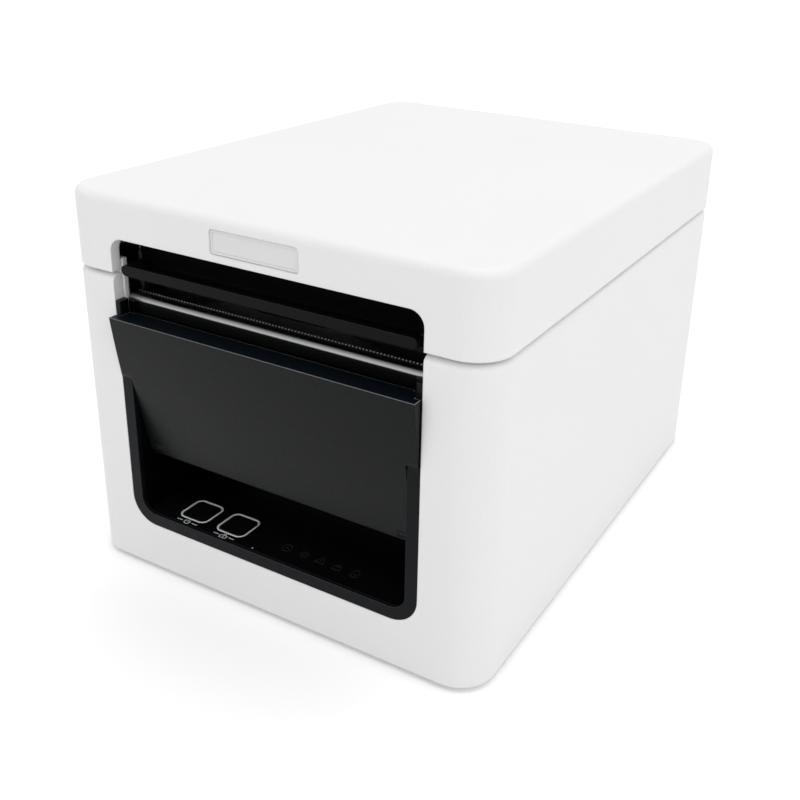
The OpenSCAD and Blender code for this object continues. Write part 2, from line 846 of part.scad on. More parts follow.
// Side view of a side frame in Y and Z; the right one also carries the motor.
module frame_2d(motor) {
    difference() {
        union() {
            translate([frame_front, frame_bottom]) square([frame_back - frame_front, frame_top - frame_bottom]);
            if (motor)
                translate([frame_back - 1, motor_frame_low])
                    square([motor_frame_back - frame_back + 1, motor_frame_top - motor_frame_low]);
        }
        translate([platen_y, platen_z]) circle(bush_r + gap);
        translate([platen_y - bush_r - gap, platen_z]) square([2 * (bush_r + gap), 10]);
        translate([release_y, release_z]) circle(rod_r + seat / 2);
        translate([head_rod_y, head_rod_z]) circle(rod_r + seat / 2);
        if (motor) {
            translate([motor_y, motor_z]) circle(5);
            translate([idler_y, idler_z]) circle(stud_r + seat / 2);
            for (s = [-1, 1]) translate([motor_y + s * motor_ear, motor_z + s * motor_ear]) circle(screw_r + seat);
        }
    }
}

// Feet of a side frame, bent outwards.
module frame_feet() {
    for (y = frame_foot_y)
        difference() {
            block([mech_x, y, frame_bottom], [foot_x, y + frame_foot_w, frame_bottom + frame_t]);
            translate([foot_screw_x, y + frame_foot_w / 2, frame_bottom - cut])
                cylinder(h = frame_t + 2 * cut, r = screw_r + seat);
        }
}

// Lug for the end of a release spring, bent inwards.
module frame_lug() {
    block([arm_x, lug_y, lug_z - 2], [mech_x + 0.1, lug_y + 0.8, lug_z + 2]);
}

module right_side_frame() {
    color(steel) {
        along_x(mech_x, mech_x + frame_t) frame_2d(true);
        frame_feet();
        frame_lug();
    }
}

module left_side_frame() {
    color(steel) mirror([1, 0, 0]) {
        along_x(mech_x, mech_x + frame_t) frame_2d(false);
        frame_feet();
        frame_lug();
    }
}

module frame_cross_plate() {
    color(steel) {
        block([-mech_x, head_y + 1, cross_z], [mech_x, head_y + 1 + cross_d, cross_z + plate_t]);
        both_sides()
            block([mech_x - plate_t, head_y + 1, cross_z - 5], [mech_x, head_y + 1 + cross_d, cross_z + 0.1]);
    }
}

module frame_screws() {
    color(steel) both_sides() for (y = frame_foot_y)
        translate([foot_screw_x, y + frame_foot_w / 2, frame_bottom - screw_bite]) {
            cylinder(h = screw_bite + frame_t, r = screw_r);
            translate([0, 0, screw_bite + frame_t]) cylinder(h = foot_head_h, r = foot_head_r);
        }
    color(steel) for (s = [-1, 1]) {
        rod_x(mech_x - 1, mech_x + frame_t, motor_y + s * motor_ear, motor_z + s * motor_ear, screw_r);
        rod_x(mech_x + frame_t, mech_x + frame_t + motor_head_h,
              motor_y + s * motor_ear, motor_z + s * motor_ear, motor_head_r);
    }
}

// ---------------------------------------------------------------- print head

module head_bracket() {
    half = head_half;
    base = head_top - head_t;
    color("#c9cccf") difference() {
        union() {
            block([-half, head_y, base - 5.5], [half, head_y + head_d, base]);
            both_sides() along_x(half - 3, half) translate([head_rod_y, head_rod_z]) circle(3);
        }
        rod_x(-half - cut, half + cut, head_rod_y, head_rod_z, rod_r + fit);
        for (x = [-30:6:30])
            block([x - 1.6, head_y + 6.4, base - 5.5 - cut], [x + 1.6, head_y + head_d - 4.4, base - 2]);
    }
}

module print_head() {
    half = head_half - 0.5;
    color("#4c4f52") {
        block([-half, head_y, head_top - head_t], [half, head_y + 10, head_top - 0.2]);
        along_x(-paper_w / 2, paper_w / 2) translate([platen_y, head_top - 1.2]) intersection() {
            circle(1.2);
            translate([-1.2, 0.4]) square([2.4, 1]);
        }
    }
}

module head_pivot_rod() {
    color(steel) rod_x(-mech_x - frame_t, mech_x + frame_t, head_rod_y, head_rod_z, rod_r);
}

module head_springs() {
    low = cross_z + plate_t;
    color(steel) for (x = [-25, 0, 25])
        translate([x, head_y + 3.4, low]) difference() {
            cylinder(h = head_top - head_t - 5.5 - 0.7 - low, r = spring_r);
            translate([0, 0, -cut]) cylinder(h = 30, r = spring_r - 0.6);
        }
}

// Flat cable from the print head down to the main board.
module head_flat_cable() {
    top = head_top - head_t - 2;
    y = head_y + head_d + 0.2;
    low = pcb_z + board_t + 1.5;
    t = 0.4;
    color("#e8e4d8") along_x(-12, 12) {
        translate([y, low]) square([t, top - low]);
        translate([y, low]) square([pcb_front + 0.4 - y, t]);
    }
}

// ---------------------------------------------------------------- cutter

module cutter_frame() {
    low = recess_top + 0.2;
    side_t = 1.2;
    side_x = knife_half + gap;
    color(steel) difference() {
        union() {
            block([-side_x - side_t, cutter_front, low], [side_x + side_t, cutter_front + plate_t, cutter_top]);
            block([-side_x - side_t, front_y + 7.2, cutter_top - plate_t], [side_x + side_t, cutter_front + plate_t, cutter_top]);
            both_sides() {
                block([side_x, cutter_front, low], [side_x + side_t, back_plate_y, cutter_top]);
                block([side_x, cutter_front, low], [mech_x, cutter_front + plate_t, low + 10]);
            }
        }
        translate([cutter_x, 0, cutter_z]) rotate([90, 0, 0]) cylinder(h = 3 * body_d, r = 4, center = true);
    }
}

module cutter_back_plate() {
    side_x = knife_half + gap + 1.2;
    color(steel) difference() {
        block([-side_x, back_plate_y, recess_top + 0.2], [side_x, back_plate_y + plate_t, cutter_top]);
        rod_y(cutter_x, back_plate_y - cut, back_plate_y + plate_t + cut, cutter_z, cutter_nose_r + seat);
    }
}

module moving_knife() {
    low = knife_top - knife_h;
    color("#d5d8db") difference() {
        along_y(knife_y, knife_y + knife_t) polygon([
            [-knife_half, low],
            [knife_half, low],
            [knife_half, knife_top],
            [0, knife_top - 2.4],
            [-knife_half, knife_top]
        ]);
        for (x = [-30, 30]) rod_y(x, knife_y - cut, knife_y + knife_t + cut, low + 5, 2);
    }
}

// Side of the rack's teeth in X and Z, facing the pinion.
module rack_2d() {
    p = PI * gear_m;
    half = p / 4 - backlash / 4;
    add = 0.9 * gear_m;
    ded = 1.2 * gear_m;
    z0 = cutter_z - knife_stroke - p;
    z1 = z0 + rack_teeth * p;
    n0 = ceil((z0 - cutter_z) / p) + 0.5;
    polygon(concat(
        [[rack_x + rack_w, z0], [rack_x + rack_w, z1], [rack_x + ded, z1]],
        [for (i = [rack_teeth - 1:-1:0]) let (z = cutter_z + (n0 + i - 0.5) * p) if (z - half > z0 + 0.6 && z + half < z1 - 0.6) each [
            [rack_x + ded, z + half + ded * tan(20)],
            [rack_x - add, z + half - add * tan(20)],
            [rack_x - add, z - half + add * tan(20)],
            [rack_x + ded, z - half - ded * tan(20)]
        ]],
        [[rack_x + ded, z0]]
    ));
}

module knife_rack() {
    y0 = knife_y + knife_t;
    color(brass) {
        along_y(y0, y0 + rack_t) rack_2d();
        block([rack_x + ded_root(), y0, knife_top - knife_h],
              [rack_x + rack_w + rack_arm_w, y0 + rack_t, knife_top - knife_h + rack_arm_h]);
    }
}

// Depth of the rack's tooth roots behind its pitch line.
function ded_root() = 1.2 * gear_m;

module cutter_pinion() {
    y0 = knife_y + knife_t;
    color(brass) {
        translate([cutter_x, 0, cutter_z]) along_y(y0 + 0.2, y0 + rack_t) gear_2d(pinion_teeth, 180 / pinion_teeth);
        rod_y(cutter_x, y0 + rack_t - 0.5, back_plate_y + plate_t + shaft_in - cut, cutter_z, motor_shaft_r);
    }
}

module cutter_motor() {
    y0 = back_plate_y + plate_t;
    color("#8d9196") difference() {
        union() {
            rod_y(cutter_x, y0, y0 + cutter_motor_l, cutter_z, cutter_motor_r);
            rod_y(cutter_x, y0 - plate_t, y0 + cut, cutter_z, cutter_nose_r);
            rod_y(cutter_x, y0 + cutter_motor_l - cut, y0 + cutter_motor_l + cutter_cap_h, cutter_z, cutter_cap_r);
        }
        rod_y(cutter_x, y0 - plate_t - cut, y0 + shaft_in, cutter_z, motor_shaft_r + fit);
    }
}

// ---------------------------------------------------------------- lid insides

module platen_carrier() {
    color(black) difference() {
        union() {
            block([-bracket_x - bracket_t, carrier_front, carrier_z],
                  [bracket_x + bracket_t, carrier_back, carrier_z + carrier_t]);
            block([0.4 - mech_x, carrier_front, seam_z + 4.3], [mech_x - 0.4, carrier_front + 1.6, carrier_z]);
            block([-skirt_x, carrier_front, paper_z + skirt_lift], [skirt_x, carrier_front + 1.6, carrier_z]);
            block([-head_half + 0.3, fixed_knife_y + 1.2, paper_z + 2.6],
                  [head_half - 0.3, fixed_knife_y + 3, carrier_z]);
            both_sides() along_x(bracket_x, bracket_x + bracket_t) {
                translate([platen_y, platen_z]) circle(bush_r + 2);
                translate([platen_y - bush_r - 2, platen_z]) square([2 * bush_r + 4, carrier_z + carrier_t / 2 - platen_z]);
            }
        }
        rod_x(-body_w, body_w, platen_y, platen_z, bush_r + seat / 2);
        for (x = [-1, 1], y = carrier_screw_y)
            translate([x * carrier_post_x, y, carrier_z - cut]) cylinder(h = carrier_t + 2 * cut, r = screw_r + seat);
        block([-head_half - 2, platen_y - platen_r - 1.2, paper_z], [head_half + 2, platen_y + platen_r + 1, carrier_z - 0.2]);
    }
}

module carrier_screws() {
    color(steel) for (x = [-1, 1], y = carrier_screw_y)
        translate([x * carrier_post_x, y, carrier_z]) {
            translate([0, 0, -1.4]) cylinder(h = 1.4, r = 2.3);
            cylinder(h = carrier_t + screw_bite, r = screw_r);
        }
}

module fixed_knife() {
    color("#d5d8db")
        block([-knife_half - 0.4, fixed_knife_y, paper_z + 1], [knife_half + 0.4, fixed_knife_y + 1.2, carrier_z]);
}

module platen_roller() {
    color("#2a2a2c") difference() {
        rod_x(-platen_l / 2, platen_l / 2, platen_y, platen_z, platen_r);
        rod_x(-platen_l, platen_l, platen_y, platen_z, shaft_r);
    }
}

module platen_shaft() {
    end = gear_x + gear_w + 0.8;
    color(steel) rod_x(-bracket_x - bracket_t - 1.5, end, platen_y, platen_z, shaft_r);
}

module platen_bushes() {
    color("#e7dfc8") both_sides() difference() {
        rod_x(mech_x - 0.2, bracket_x + bracket_t + 0.4, platen_y, platen_z, bush_r);
        rod_x(mech_x - cut, bracket_x + bracket_t + cut, platen_y, platen_z, shaft_r + fit);
    }
}

module platen_gear() {
    color("#ece8dc") difference() {
        along_x(gear_x, gear_x + gear_w) translate([platen_y, platen_z]) gear_2d(platen_teeth, platen_phase);
        rod_x(gear_x - cut, gear_x + gear_w + cut, platen_y, platen_z, shaft_r);
    }
}

// ---------------------------------------------------------------- paper drive

module feed_motor() {
    x1 = mech_x;
    x0 = x1 - motor_rim_t;
    color("#9aa0a5") difference() {
        union() {
            rod_x(x0 - motor_l, x0, motor_y, motor_z, motor_r);
            along_x(x0, x1) union() {
                translate([motor_y, motor_z]) circle(motor_r);
                for (s = [-1, 1])
                    translate([motor_y + s * motor_ear, motor_z + s * motor_ear]) circle(motor_ear_r);
            }
            rod_x(x0, x1 + frame_t, motor_y, motor_z, motor_collar_r);
        }
        rod_x(x1 - shaft_in - cut, x1 + frame_t + cut, motor_y, motor_z, motor_shaft_r + fit);
        for (s = [-1, 1])
            rod_x(x0 - cut, x1 + cut, motor_y + s * motor_ear, motor_z + s * motor_ear, screw_r + fit);
    }
}

module motor_shaft() {
    color(steel) rod_x(mech_x - shaft_in, gear_x + gear_w + 0.5, motor_y, motor_z, motor_shaft_r);
}

module motor_pinion() {
    color(brass) difference() {
        along_x(gear_x, gear_x + gear_w) translate([motor_y, motor_z]) gear_2d(pinion_teeth, pinion_phase);
        rod_x(gear_x - cut, gear_x + gear_w + cut, motor_y, motor_z, motor_shaft_r);
    }
}

module idler_gear() {
    color("#ece8dc") difference() {
        union() {
            along_x(gear_x, gear_x + gear_w) translate([idler_y, idler_z]) gear_2d(idler_teeth, idler_phase);
            rod_x(gear_x - 0.8, gear_x + gear_w, idler_y, idler_z, 3.6);
        }
        rod_x(gear_x - 2, gear_x + gear_w + cut, idler_y, idler_z, stud_r + fit);
    }
}

module idler_stud() {
    color(steel) {
        rod_x(mech_x, gear_x + gear_w + 1.1, idler_y, idler_z, stud_r);
        rod_x(mech_x + frame_t, gear_x - 0.8 - gap, idler_y, idler_z, stud_r + 1);
        rod_x(gear_x + gear_w + gap, gear_x + gear_w + 1.1, idler_y, idler_z, stud_r + 1);
    }
}

// ---------------------------------------------------------------- deck and bay

// Outline of the deck, set in from the walls of the case by i.
module deck_2d(i) {
    intersection() {
        translate([0, mid_y]) round_rect(body_w - 2 * wall - 2 * i, body_d - 2 * wall - 2 * i, in_r - i);
        translate([-in_x, in_front]) square([2 * in_x, deck_back - i - in_front]);
    }
}

// Room in front for the exit, the posts and the bezel.
module deck_mouth_2d() {
    half = post_x + post_w + 0.4;
    translate([-half, in_front - cut]) square([2 * half, deck_front - in_front + cut]);
}

// Room in the deck for the gears beside the right side frame.
module gear_room_2d() {
    side = 1.1;
    ends = 2.4;
    translate([gear_x - side, idler_y - idler_r - ends])
        square([gear_w + 2 * side, 2 * (idler_r + ends)]);
}

// Room in the deck for the brackets that carry the platen.
module bracket_room_2d() {
    half = bracket_x + bracket_t + gap;
    translate([-half, platen_y - bush_r - 2 - gap]) square([2 * half, 2 * (bush_r + 2 + gap)]);
}

// Hole in the deck for the cover switch.
module switch_room_2d() {
    translate([-switch_x - switch_w / 2 - seat, switch_y - seat])
        square([switch_w + 2 * seat, switch_d + 2 * seat]);
}

module inner_deck() {
    mech_open = bracket_x - 0.2;
    color(black) {
        translate([0, 0, deck_z]) linear_extrude(deck_t) difference() {
            deck_2d(seat);
            deck_mouth_2d();
            translate([-mech_open, deck_front - cut]) square([2 * mech_open, frame_back + 0.4 - deck_front + cut]);
            translate([-bay_x, bay_y - bay_r]) square([2 * bay_x, bay_back - bay_y + bay_r]);
            bracket_room_2d();
            gear_room_2d();
            translate([-sensor_w / 2 - seat, sensor_y - seat]) square([sensor_w + 2 * seat, sensor_d + 2 * seat]);
            switch_room_2d();
        }
        translate([0, 0, deck_z]) linear_extrude(seam_z + 1.6 - deck_z) difference() {
            deck_2d(0.4);
            deck_2d(1.8);
            deck_mouth_2d();
            gear_room_2d();
            switch_room_2d();
        }
    }
}

// Room for the roll, larger by t all round, up to above the deck.
module bay_body(half, t) {
    intersection() {
        union() {
            rod_x(-half, half, bay_y, bay_z, bay_r + t);
            block([-half, bay_y - bay_r - t, bay_z], [half, bay_y + bay_r + t, deck_z + cut]);
        }
        block([-half - cut, bay_y - body_d, 0], [half + cut, bay_back + t, body_h]);
    }
}

module roll_bay() {
    color(black) difference() {
        bay_body(bay_x + bay_wall, bay_wall);
        bay_body(bay_x, 0);
        block([-body_w, bay_y - body_d, deck_z], [body_w, bay_y + body_d, deck_z + body_h]);
    }
}

module paper_sensor() {
    color("#101214") block([-sensor_w / 2, sensor_y, deck_z - sensor_drop],
                           [sensor_w / 2, sensor_y + sensor_d, deck_z + deck_t + 0.3]);
}

module cover_switch() {
    color("#2b2f33") {
        block([-switch_x - switch_w / 2, switch_y, deck_z - switch_drop],
              [-switch_x + switch_w / 2, switch_y + switch_d, deck_z + deck_t - 0.2]);
        block([-switch_x - button_w / 2, switch_y + 2.5, deck_z + deck_t - 0.4],
              [-switch_x + button_w / 2, switch_y + 4.5, deck_z + deck_t + 2]);
    }
}

module hinge_pins() {
    color(steel) both_sides()
        rod_x(knuckle_x - hinge_pin_l / 2, knuckle_x + hinge_pin_l / 2, hinge_y, hinge_z, hinge_pin_r);
}

// ---------------------------------------------------------------- boards and base

board_hole_y = [pcb_front + 5, pcb_back - 17];

module main_board() {
    color("#1f5b3a") difference() {
        block([-pcb_half, pcb_front, pcb_z], [pcb_half, pcb_back, pcb_z + board_t]);
        for (x = [-1, 1], y = board_hole_y)
            translate([x * (pcb_half - 4), y, pcb_z - cut]) cylinder(h = board_t + 2 * cut, r = screw_r + seat);
    }
}

// Parts on the board, in front of and behind the lowest line of the roll bay
head_plug = [26, 4.6, 3];      // width, depth and height
motor_plug = [12, 5, 6];
processor = [18, 18, 1.8];
driver = [12, 12, 1.6];
coil = [12, 12, 7];
can_r = 4.5;                   // upright round capacitors
can_h = 9;
part_y = bay_y - 29;

// A boxy part on the board, given by its left front corner.
module board_part(x, y, size) {
    translate([x, y, pcb_z + board_t]) cube(size);
}

module board_components() {
    color("#3b4046") {
        board_part(-head_plug[0] / 2, pcb_front + 0.4, head_plug);
        board_part(motor_plug[0] - 46, pcb_front + 8, motor_plug);
        board_part(-processor[0] / 2, part_y - processor[1] / 2, processor);
        board_part(20, part_y - driver[1] / 2, driver);
        board_part(pcb_half - 4 - coil[0], part_y - 19, coil);
        for (x = [-36, -24]) translate([x, part_y - 5, pcb_z + board_t]) cylinder(h = can_h, r = can_r);
    }
}

// Shell of a socket on the board, with its mouth in the back wall.
module socket_shell(i, deep) {
    s = sockets[i];
    block([s[0] - s[1] / 2, socket_back - deep, socket_z], [s[0] + s[1] / 2, socket_back, socket_z + s[2]]);
}

inlet_deep = 14;
inlet_mouth_r = 5;
inlet_pin_r = 0.6;
inlet_pin_ring = 2.6;          // radius of the circle that the three pins stand on

module power_inlet() {
    s = sockets[0];
    z = socket_z + s[2] / 2;
    color("#1b1d20") {
        difference() {
            socket_shell(0, inlet_deep);
            rod_y(s[0], socket_back - inlet_deep + 4, socket_back + cut, z, inlet_mouth_r);
        }
        for (a = [-90, 30, 150])
            rod_y(s[0] + inlet_pin_ring * cos(a), socket_back - inlet_deep + 3, socket_back - 2,
                  z + inlet_pin_ring * sin(a), inlet_pin_r);
    }
}

jack_deep = 15;
jack_floor = 2.4;              // height of the mouth's lower edge in the shell
jack_latch = [6, 1.4];         // width and height of the latch's slot
network_mouth = [11.8, 7.6];
drawer_mouth = [9.8, 6.8];

// Socket with a rectangular mouth, given by its width and height, and the slot of its latch below.
module modular_socket(i, mouth) {
    s = sockets[i];
    z = socket_z + jack_floor;
    color("#b6babe") difference() {
        socket_shell(i, jack_deep);
        block([s[0] - mouth[0] / 2, socket_back - jack_deep + 3, z],
              [s[0] + mouth[0] / 2, socket_back + cut, z + mouth[1]]);
        block([s[0] - jack_latch[0] / 2, socket_back - jack_deep + 9, z - jack_latch[1]],
              [s[0] + jack_latch[0] / 2, socket_back + cut, z + 0.1]);
    }
}

module network_socket() {
    modular_socket(1, network_mouth);
}

module drawer_socket() {
    modular_socket(2, drawer_mouth);
}

usb_deep = 16;
usb_mouth = [8.6, 7.8];
usb_tongue = [5.6, 3];

module usb_socket() {
    s = sockets[3];
    z = socket_z + s[2] / 2;
    color("#c3c6c9") {
        difference() {
            socket_shell(3, usb_deep);
            block([s[0] - usb_mouth[0] / 2, socket_back - usb_deep + 7, z - usb_mouth[1] / 2],
                  [s[0] + usb_mouth[0] / 2, socket_back + cut, z + usb_mouth[1] / 2]);
        }
        block([s[0] - usb_tongue[0] / 2, socket_back - usb_deep + 6, z - usb_tongue[1] / 2],
              [s[0] + usb_tongue[0] / 2, socket_back - 1.5, z + usb_tongue[1] / 2]);
    }
}

foot_x_pos = body_w / 2 - 15;
foot_rows = [in_front + 16, in_back - 16];

module base_plate() {
    color("#3a3d40") difference() {
        union() {
            translate([0, mid_y, case_z]) linear_extrude(plate_z - case_z)
                round_rect(body_w - 2 * wall - 2 * seat, body_d - 2 * wall - 2 * seat, in_r - seat);
            for (x = [-1, 1], y = board_hole_y)
                translate([x * (pcb_half - 4), y, plate_z - 0.5]) cylinder(h = pcb_z - plate_z + 0.5, r = 3.2);
        }
        for (x = [-1, 1], y = board_hole_y)
            translate([x * (pcb_half - 4), y, plate_z - 0.4]) cylinder(h = pcb_z, r = screw_r + fit);
        for (x = [-1, 1], y = [in_front + 7, in_back - 7])
            translate([x * (in_x - 5), y, case_z - cut]) {
                cylinder(h = 5, r = screw_r + seat);
                cylinder(h = 1 + cut, r = 3.2);
            }
        for (x = [-1, 1], y = foot_rows)
            translate([x * foot_x_pos, y, case_z - cut]) cylinder(h = 0.6 + cut, r = 6 + seat);
    }
}

module rubber_feet() {
    color("#2b2b2b") for (x = [-1, 1], y = foot_rows)
        translate([x * foot_x_pos, y, 0]) cylinder(h = case_z + 0.6, r = 6);
}

module base_screws() {
    color(steel) for (x = [-1, 1], y = [in_front + 7, in_back - 7])
        translate([x * (in_x - 5), y, case_z]) {
            cylinder(h = 1, r = 2.9);
            cylinder(h = 9, r = screw_r);
        }
}

module board_screws() {
    color(steel) for (x = [-1, 1], y = board_hole_y)
        translate([x * (pcb_half - 4), y, pcb_z + board_t]) {
            cylinder(h = 1.6, r = 2.7);
            translate([0, 0, -board_t - 3]) cylinder(h = board_t + 3.2, r = screw_r);
        }
}

lower_case();
lid();
name_plate();
front_bezel();
cutter_cover();
cutter_cover_pins();
control_panel();
power_key();
feed_key();
key_light_rings();
key_board();
key_switches();
icon_light_guide();
exit_strip();
tear_bar();
release_bar();
release_studs();
release_springs();
left_side_frame();
right_side_frame();
frame_cross_plate();
print_head();
head_bracket();
head_pivot_rod();
head_springs();
head_flat_cable();
cutter_frame();
cutter_back_plate();
moving_knife();
knife_rack();
cutter_pinion();
cutter_motor();
platen_carrier();
fixed_knife();
platen_roller();
platen_shaft();
platen_bushes();
platen_gear();
feed_motor();
motor_shaft();
motor_pinion();
idler_gear();
idler_stud();
inner_deck();
roll_bay();
paper_sensor();
cover_switch();
hinge_pins();
main_board();
board_components();
power_inlet();
network_socket();
drawer_socket();
usb_socket();
base_plate();
rubber_feet();
base_screws();
board_screws();
carrier_screws();
frame_screws();
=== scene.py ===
"""Finishes, fine pieces, camera and light for a desk receipt printer."""
import logging
import math
from dataclasses import dataclass, field
from enum import Enum
from typing import Sequence, Union

import bpy
import numpy as np
from mathutils import Matrix, Vector


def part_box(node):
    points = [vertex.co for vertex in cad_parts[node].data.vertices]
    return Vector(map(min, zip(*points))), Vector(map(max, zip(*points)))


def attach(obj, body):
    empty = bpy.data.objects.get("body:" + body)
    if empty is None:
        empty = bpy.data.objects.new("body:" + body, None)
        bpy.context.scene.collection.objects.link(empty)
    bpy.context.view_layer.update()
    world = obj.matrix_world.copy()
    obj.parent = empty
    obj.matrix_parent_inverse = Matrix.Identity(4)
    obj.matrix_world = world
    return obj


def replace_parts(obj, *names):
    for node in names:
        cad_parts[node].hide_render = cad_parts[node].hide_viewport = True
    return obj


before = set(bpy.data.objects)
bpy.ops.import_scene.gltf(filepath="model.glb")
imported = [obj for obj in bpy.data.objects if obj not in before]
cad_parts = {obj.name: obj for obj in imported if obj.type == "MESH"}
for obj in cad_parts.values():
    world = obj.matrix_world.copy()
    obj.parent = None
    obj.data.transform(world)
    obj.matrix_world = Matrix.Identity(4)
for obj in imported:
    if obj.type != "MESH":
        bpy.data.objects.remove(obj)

LOG = logging.getLogger("receipt_printer")
MM = 0.001
Array = np.ndarray
Colour = tuple[float, float, float]
Place = tuple[float, float, float]
Value = Union["Wire", float]


# ------------------------------------------------------------------ shapes


@dataclass
class Shape:
    """Points and faces of one closed surface or of several joined ones, in millimetres."""

    points: Array
    faces: list[Array]

    def __add__(self, other: "Shape") -> "Shape":
        """Join two shapes into one mesh, without merging them."""
        shifted = [f + len(self.points) for f in other.faces]
        return Shape(np.vstack([self.points, other.points]), self.faces + shifted)

    def placed(self, at: Sequence[float], axes: Array | None = None) -> "Shape":
        """Turn the shape by a 3 x 3 matrix whose rows are its new axes, then move it.

        Args:
            at: where its origin goes.
            axes: the rows are where its X, Y and Z point; none leaves it unturned.

        Returns:
            The placed shape.
        """
        points = self.points if axes is None else self.points @ np.asarray(axes, float)
        return Shape(points + np.asarray(at, float), self.faces)


def lattice(rows: int, columns: int, round_rows: bool, round_columns: bool) -> Array:
    """Quads of a grid of points.

    Args:
        rows: number of rows.
        columns: number of points in a row.
        round_rows: whether the last row meets the first.
        round_columns: whether the end of each row meets its start.

    Returns:
        An array of point indices, four to a quad.
    """
    r = np.arange(rows if round_rows else rows - 1)[:, None]
    c = np.arange(columns if round_columns else columns - 1)[None, :]
    r1, c1 = (r + 1) % rows, (c + 1) % columns
    quads = [r * columns + c, r * columns + c1, r1 * columns + c1, r1 * columns + c]
    return np.stack([np.broadcast_to(q, (r.size, c.size)) for q in quads], -1).reshape(-1, 4)


def skin(points: Array, closed: bool = True, ends: bool = True) -> Shape:
    """Surface over a grid of points (rows, columns, 3) whose rows are rings.

    Args:
        points: the grid; each row goes round once.
        closed: whether a row meets its own start.
        ends: whether the first and the last row get a flat cap.

    Returns:
        The surface as a shape.
    """
    rows, columns = points.shape[:2]
    faces: list[Array] = list(lattice(rows, columns, False, closed))
    if ends:
        faces.append(np.arange(columns)[::-1])
        faces.append(np.arange(columns) + (rows - 1) * columns)
    return Shape(points.reshape(-1, 3), faces)


def rounded_outline(width: float, depth: float, radius: float, steps: int = 8) -> Array:
    """Rectangle with round corners: each corner's quarter circle is its centre plus
    radius times (cos, sin) of an angle that goes on from corner to corner.

    Args:
        width: size in X.
        depth: size in Y.
        radius: corner radius.
        steps: segments in a corner.

    Returns:
        Points (4 * (steps + 1), 2), anticlockwise.
    """
    angle = np.linspace(0, math.pi / 2, steps + 1)[None, :] + np.arange(4)[:, None] * math.pi / 2
    sx = np.array([1, -1, -1, 1])[:, None] * (width / 2 - radius)
    sy = np.array([1, 1, -1, -1])[:, None] * (depth / 2 - radius)
    return np.stack([sx + radius * np.cos(angle), sy + radius * np.sin(angle)], -1).reshape(-1, 2)


def outline_rings(width: float, depth: float, radius: float, section: Sequence[tuple[float, float]]) -> Array:
    """Rounded outlines stacked along a section: at each (inset, level) pair the outline is
    drawn in by the inset and lies at the level.

    Args:
        width: size in X of the outermost outline.
        depth: size in Y of the outermost outline.
        radius: its corner radius.
        section: pairs of inset and level.

    Returns:
        A grid of points (pairs, points in an outline, 3).
    """
    rings = [
        np.column_stack([rounded_outline(width - 2 * i, depth - 2 * i, max(radius - i, 0.05)), np.full(36, z)])
        for i, z in section
    ]
    return np.stack(rings)


def ring_slab(size: float, line: float, radius: float, low: float, high: float, edge: float) -> Shape:
    """Square ring whose closed section has two chamfered upper edges.

    Args:
        size: outer size.
        line: width of the ring's line.
        radius: outer corner radius.
        low: level of the underside.
        high: level of the top.
        edge: chamfer of the upper edges.

    Returns:
        The ring, about the origin in X and Y.
    """
    section = [(0, low), (0, high - edge), (edge, high), (line - edge, high), (line, high - edge), (line, low)]
    points = outline_rings(size, size, radius, section)
    return Shape(points.reshape(-1, 3), list(lattice(len(section), 36, True, True)))


def together(shapes: Sequence[Shape]) -> Shape:
    """Several shapes as one."""
    return sum(shapes[1:], shapes[0])


def revolved(profile: Sequence[tuple[float, float]], steps: int) -> Array:
    """Rings of a turned form: each (radius, height) pair goes round the Z axis as
    (radius cos a, radius sin a, height).

    Args:
        profile: pairs of radius and height.
        steps: points round the axis.

    Returns:
        A grid of points (pairs, steps, 3).
    """
    p = np.asarray(profile, float)
    a = np.linspace(0, 2 * math.pi, steps, endpoint=False)
    return np.stack([p[:, :1] * np.cos(a), p[:, :1] * np.sin(a), np.repeat(p[:, 1:], steps, 1)], -1)


def turned(profile: Sequence[tuple[float, float]], steps: int = 48) -> Shape:
    """Turned form.

    Args:
        profile: pairs of radius and height, from the low end to the high end.
        steps: segments round the axis.

    Returns:
        The form, capped at both ends.
    """
    return skin(revolved(profile, steps))


def wire(path: Array, radius: float, steps: int = 8, aside: Sequence[float] = (0, 0, 1)) -> Shape:
    """Round wire along a path: at each point a circle stands square to the direction of
    travel, in the two directions that are square to it and to a fixed one.

    Args:
        path: centre line (n, 3).
        radius: radius of the wire.
        steps: points round the wire.
        aside: a direction that the path never follows.

    Returns:
        The wire with flat ends.
    """
    travel = np.gradient(path, axis=0)
    travel /= np.linalg.norm(travel, axis=1, keepdims=True)
    side = np.cross(travel, np.asarray(aside, float))
    side /= np.linalg.norm(side, axis=1, keepdims=True)
    up = np.cross(side, travel)
    a = np.linspace(0, 2 * math.pi, steps, endpoint=False)
    rings = side[:, None] * np.cos(a)[None, :, None] + up[:, None] * np.sin(a)[None, :, None]
    return skin((path[:, None] + radius * rings)[:, ::-1])


def coil(radius: float, length: float, turns: float, gauge: float) -> Shape:
    """Compression spring: (r cos a, r sin a, h) with the height h slower in the first and
    the last turn, where the wire lies flat.

    Args:
        radius: mean radius.
        length: free length.
        turns: number of turns.
        gauge: radius of the wire.

    Returns:
        The spring, standing on the origin.
    """
    t = np.linspace(0, 1, int(turns * 20))
    a = 2 * math.pi * turns * t
    pitch = np.clip(np.minimum(t, 1 - t) * turns, 0.25, 1)
    height = np.cumsum(pitch) - pitch[0]
    height = gauge + (length - 2 * gauge) * height / height[-1]
    path = np.column_stack([radius * np.cos(a), radius * np.sin(a), height])
    return wire(path, gauge, 7)


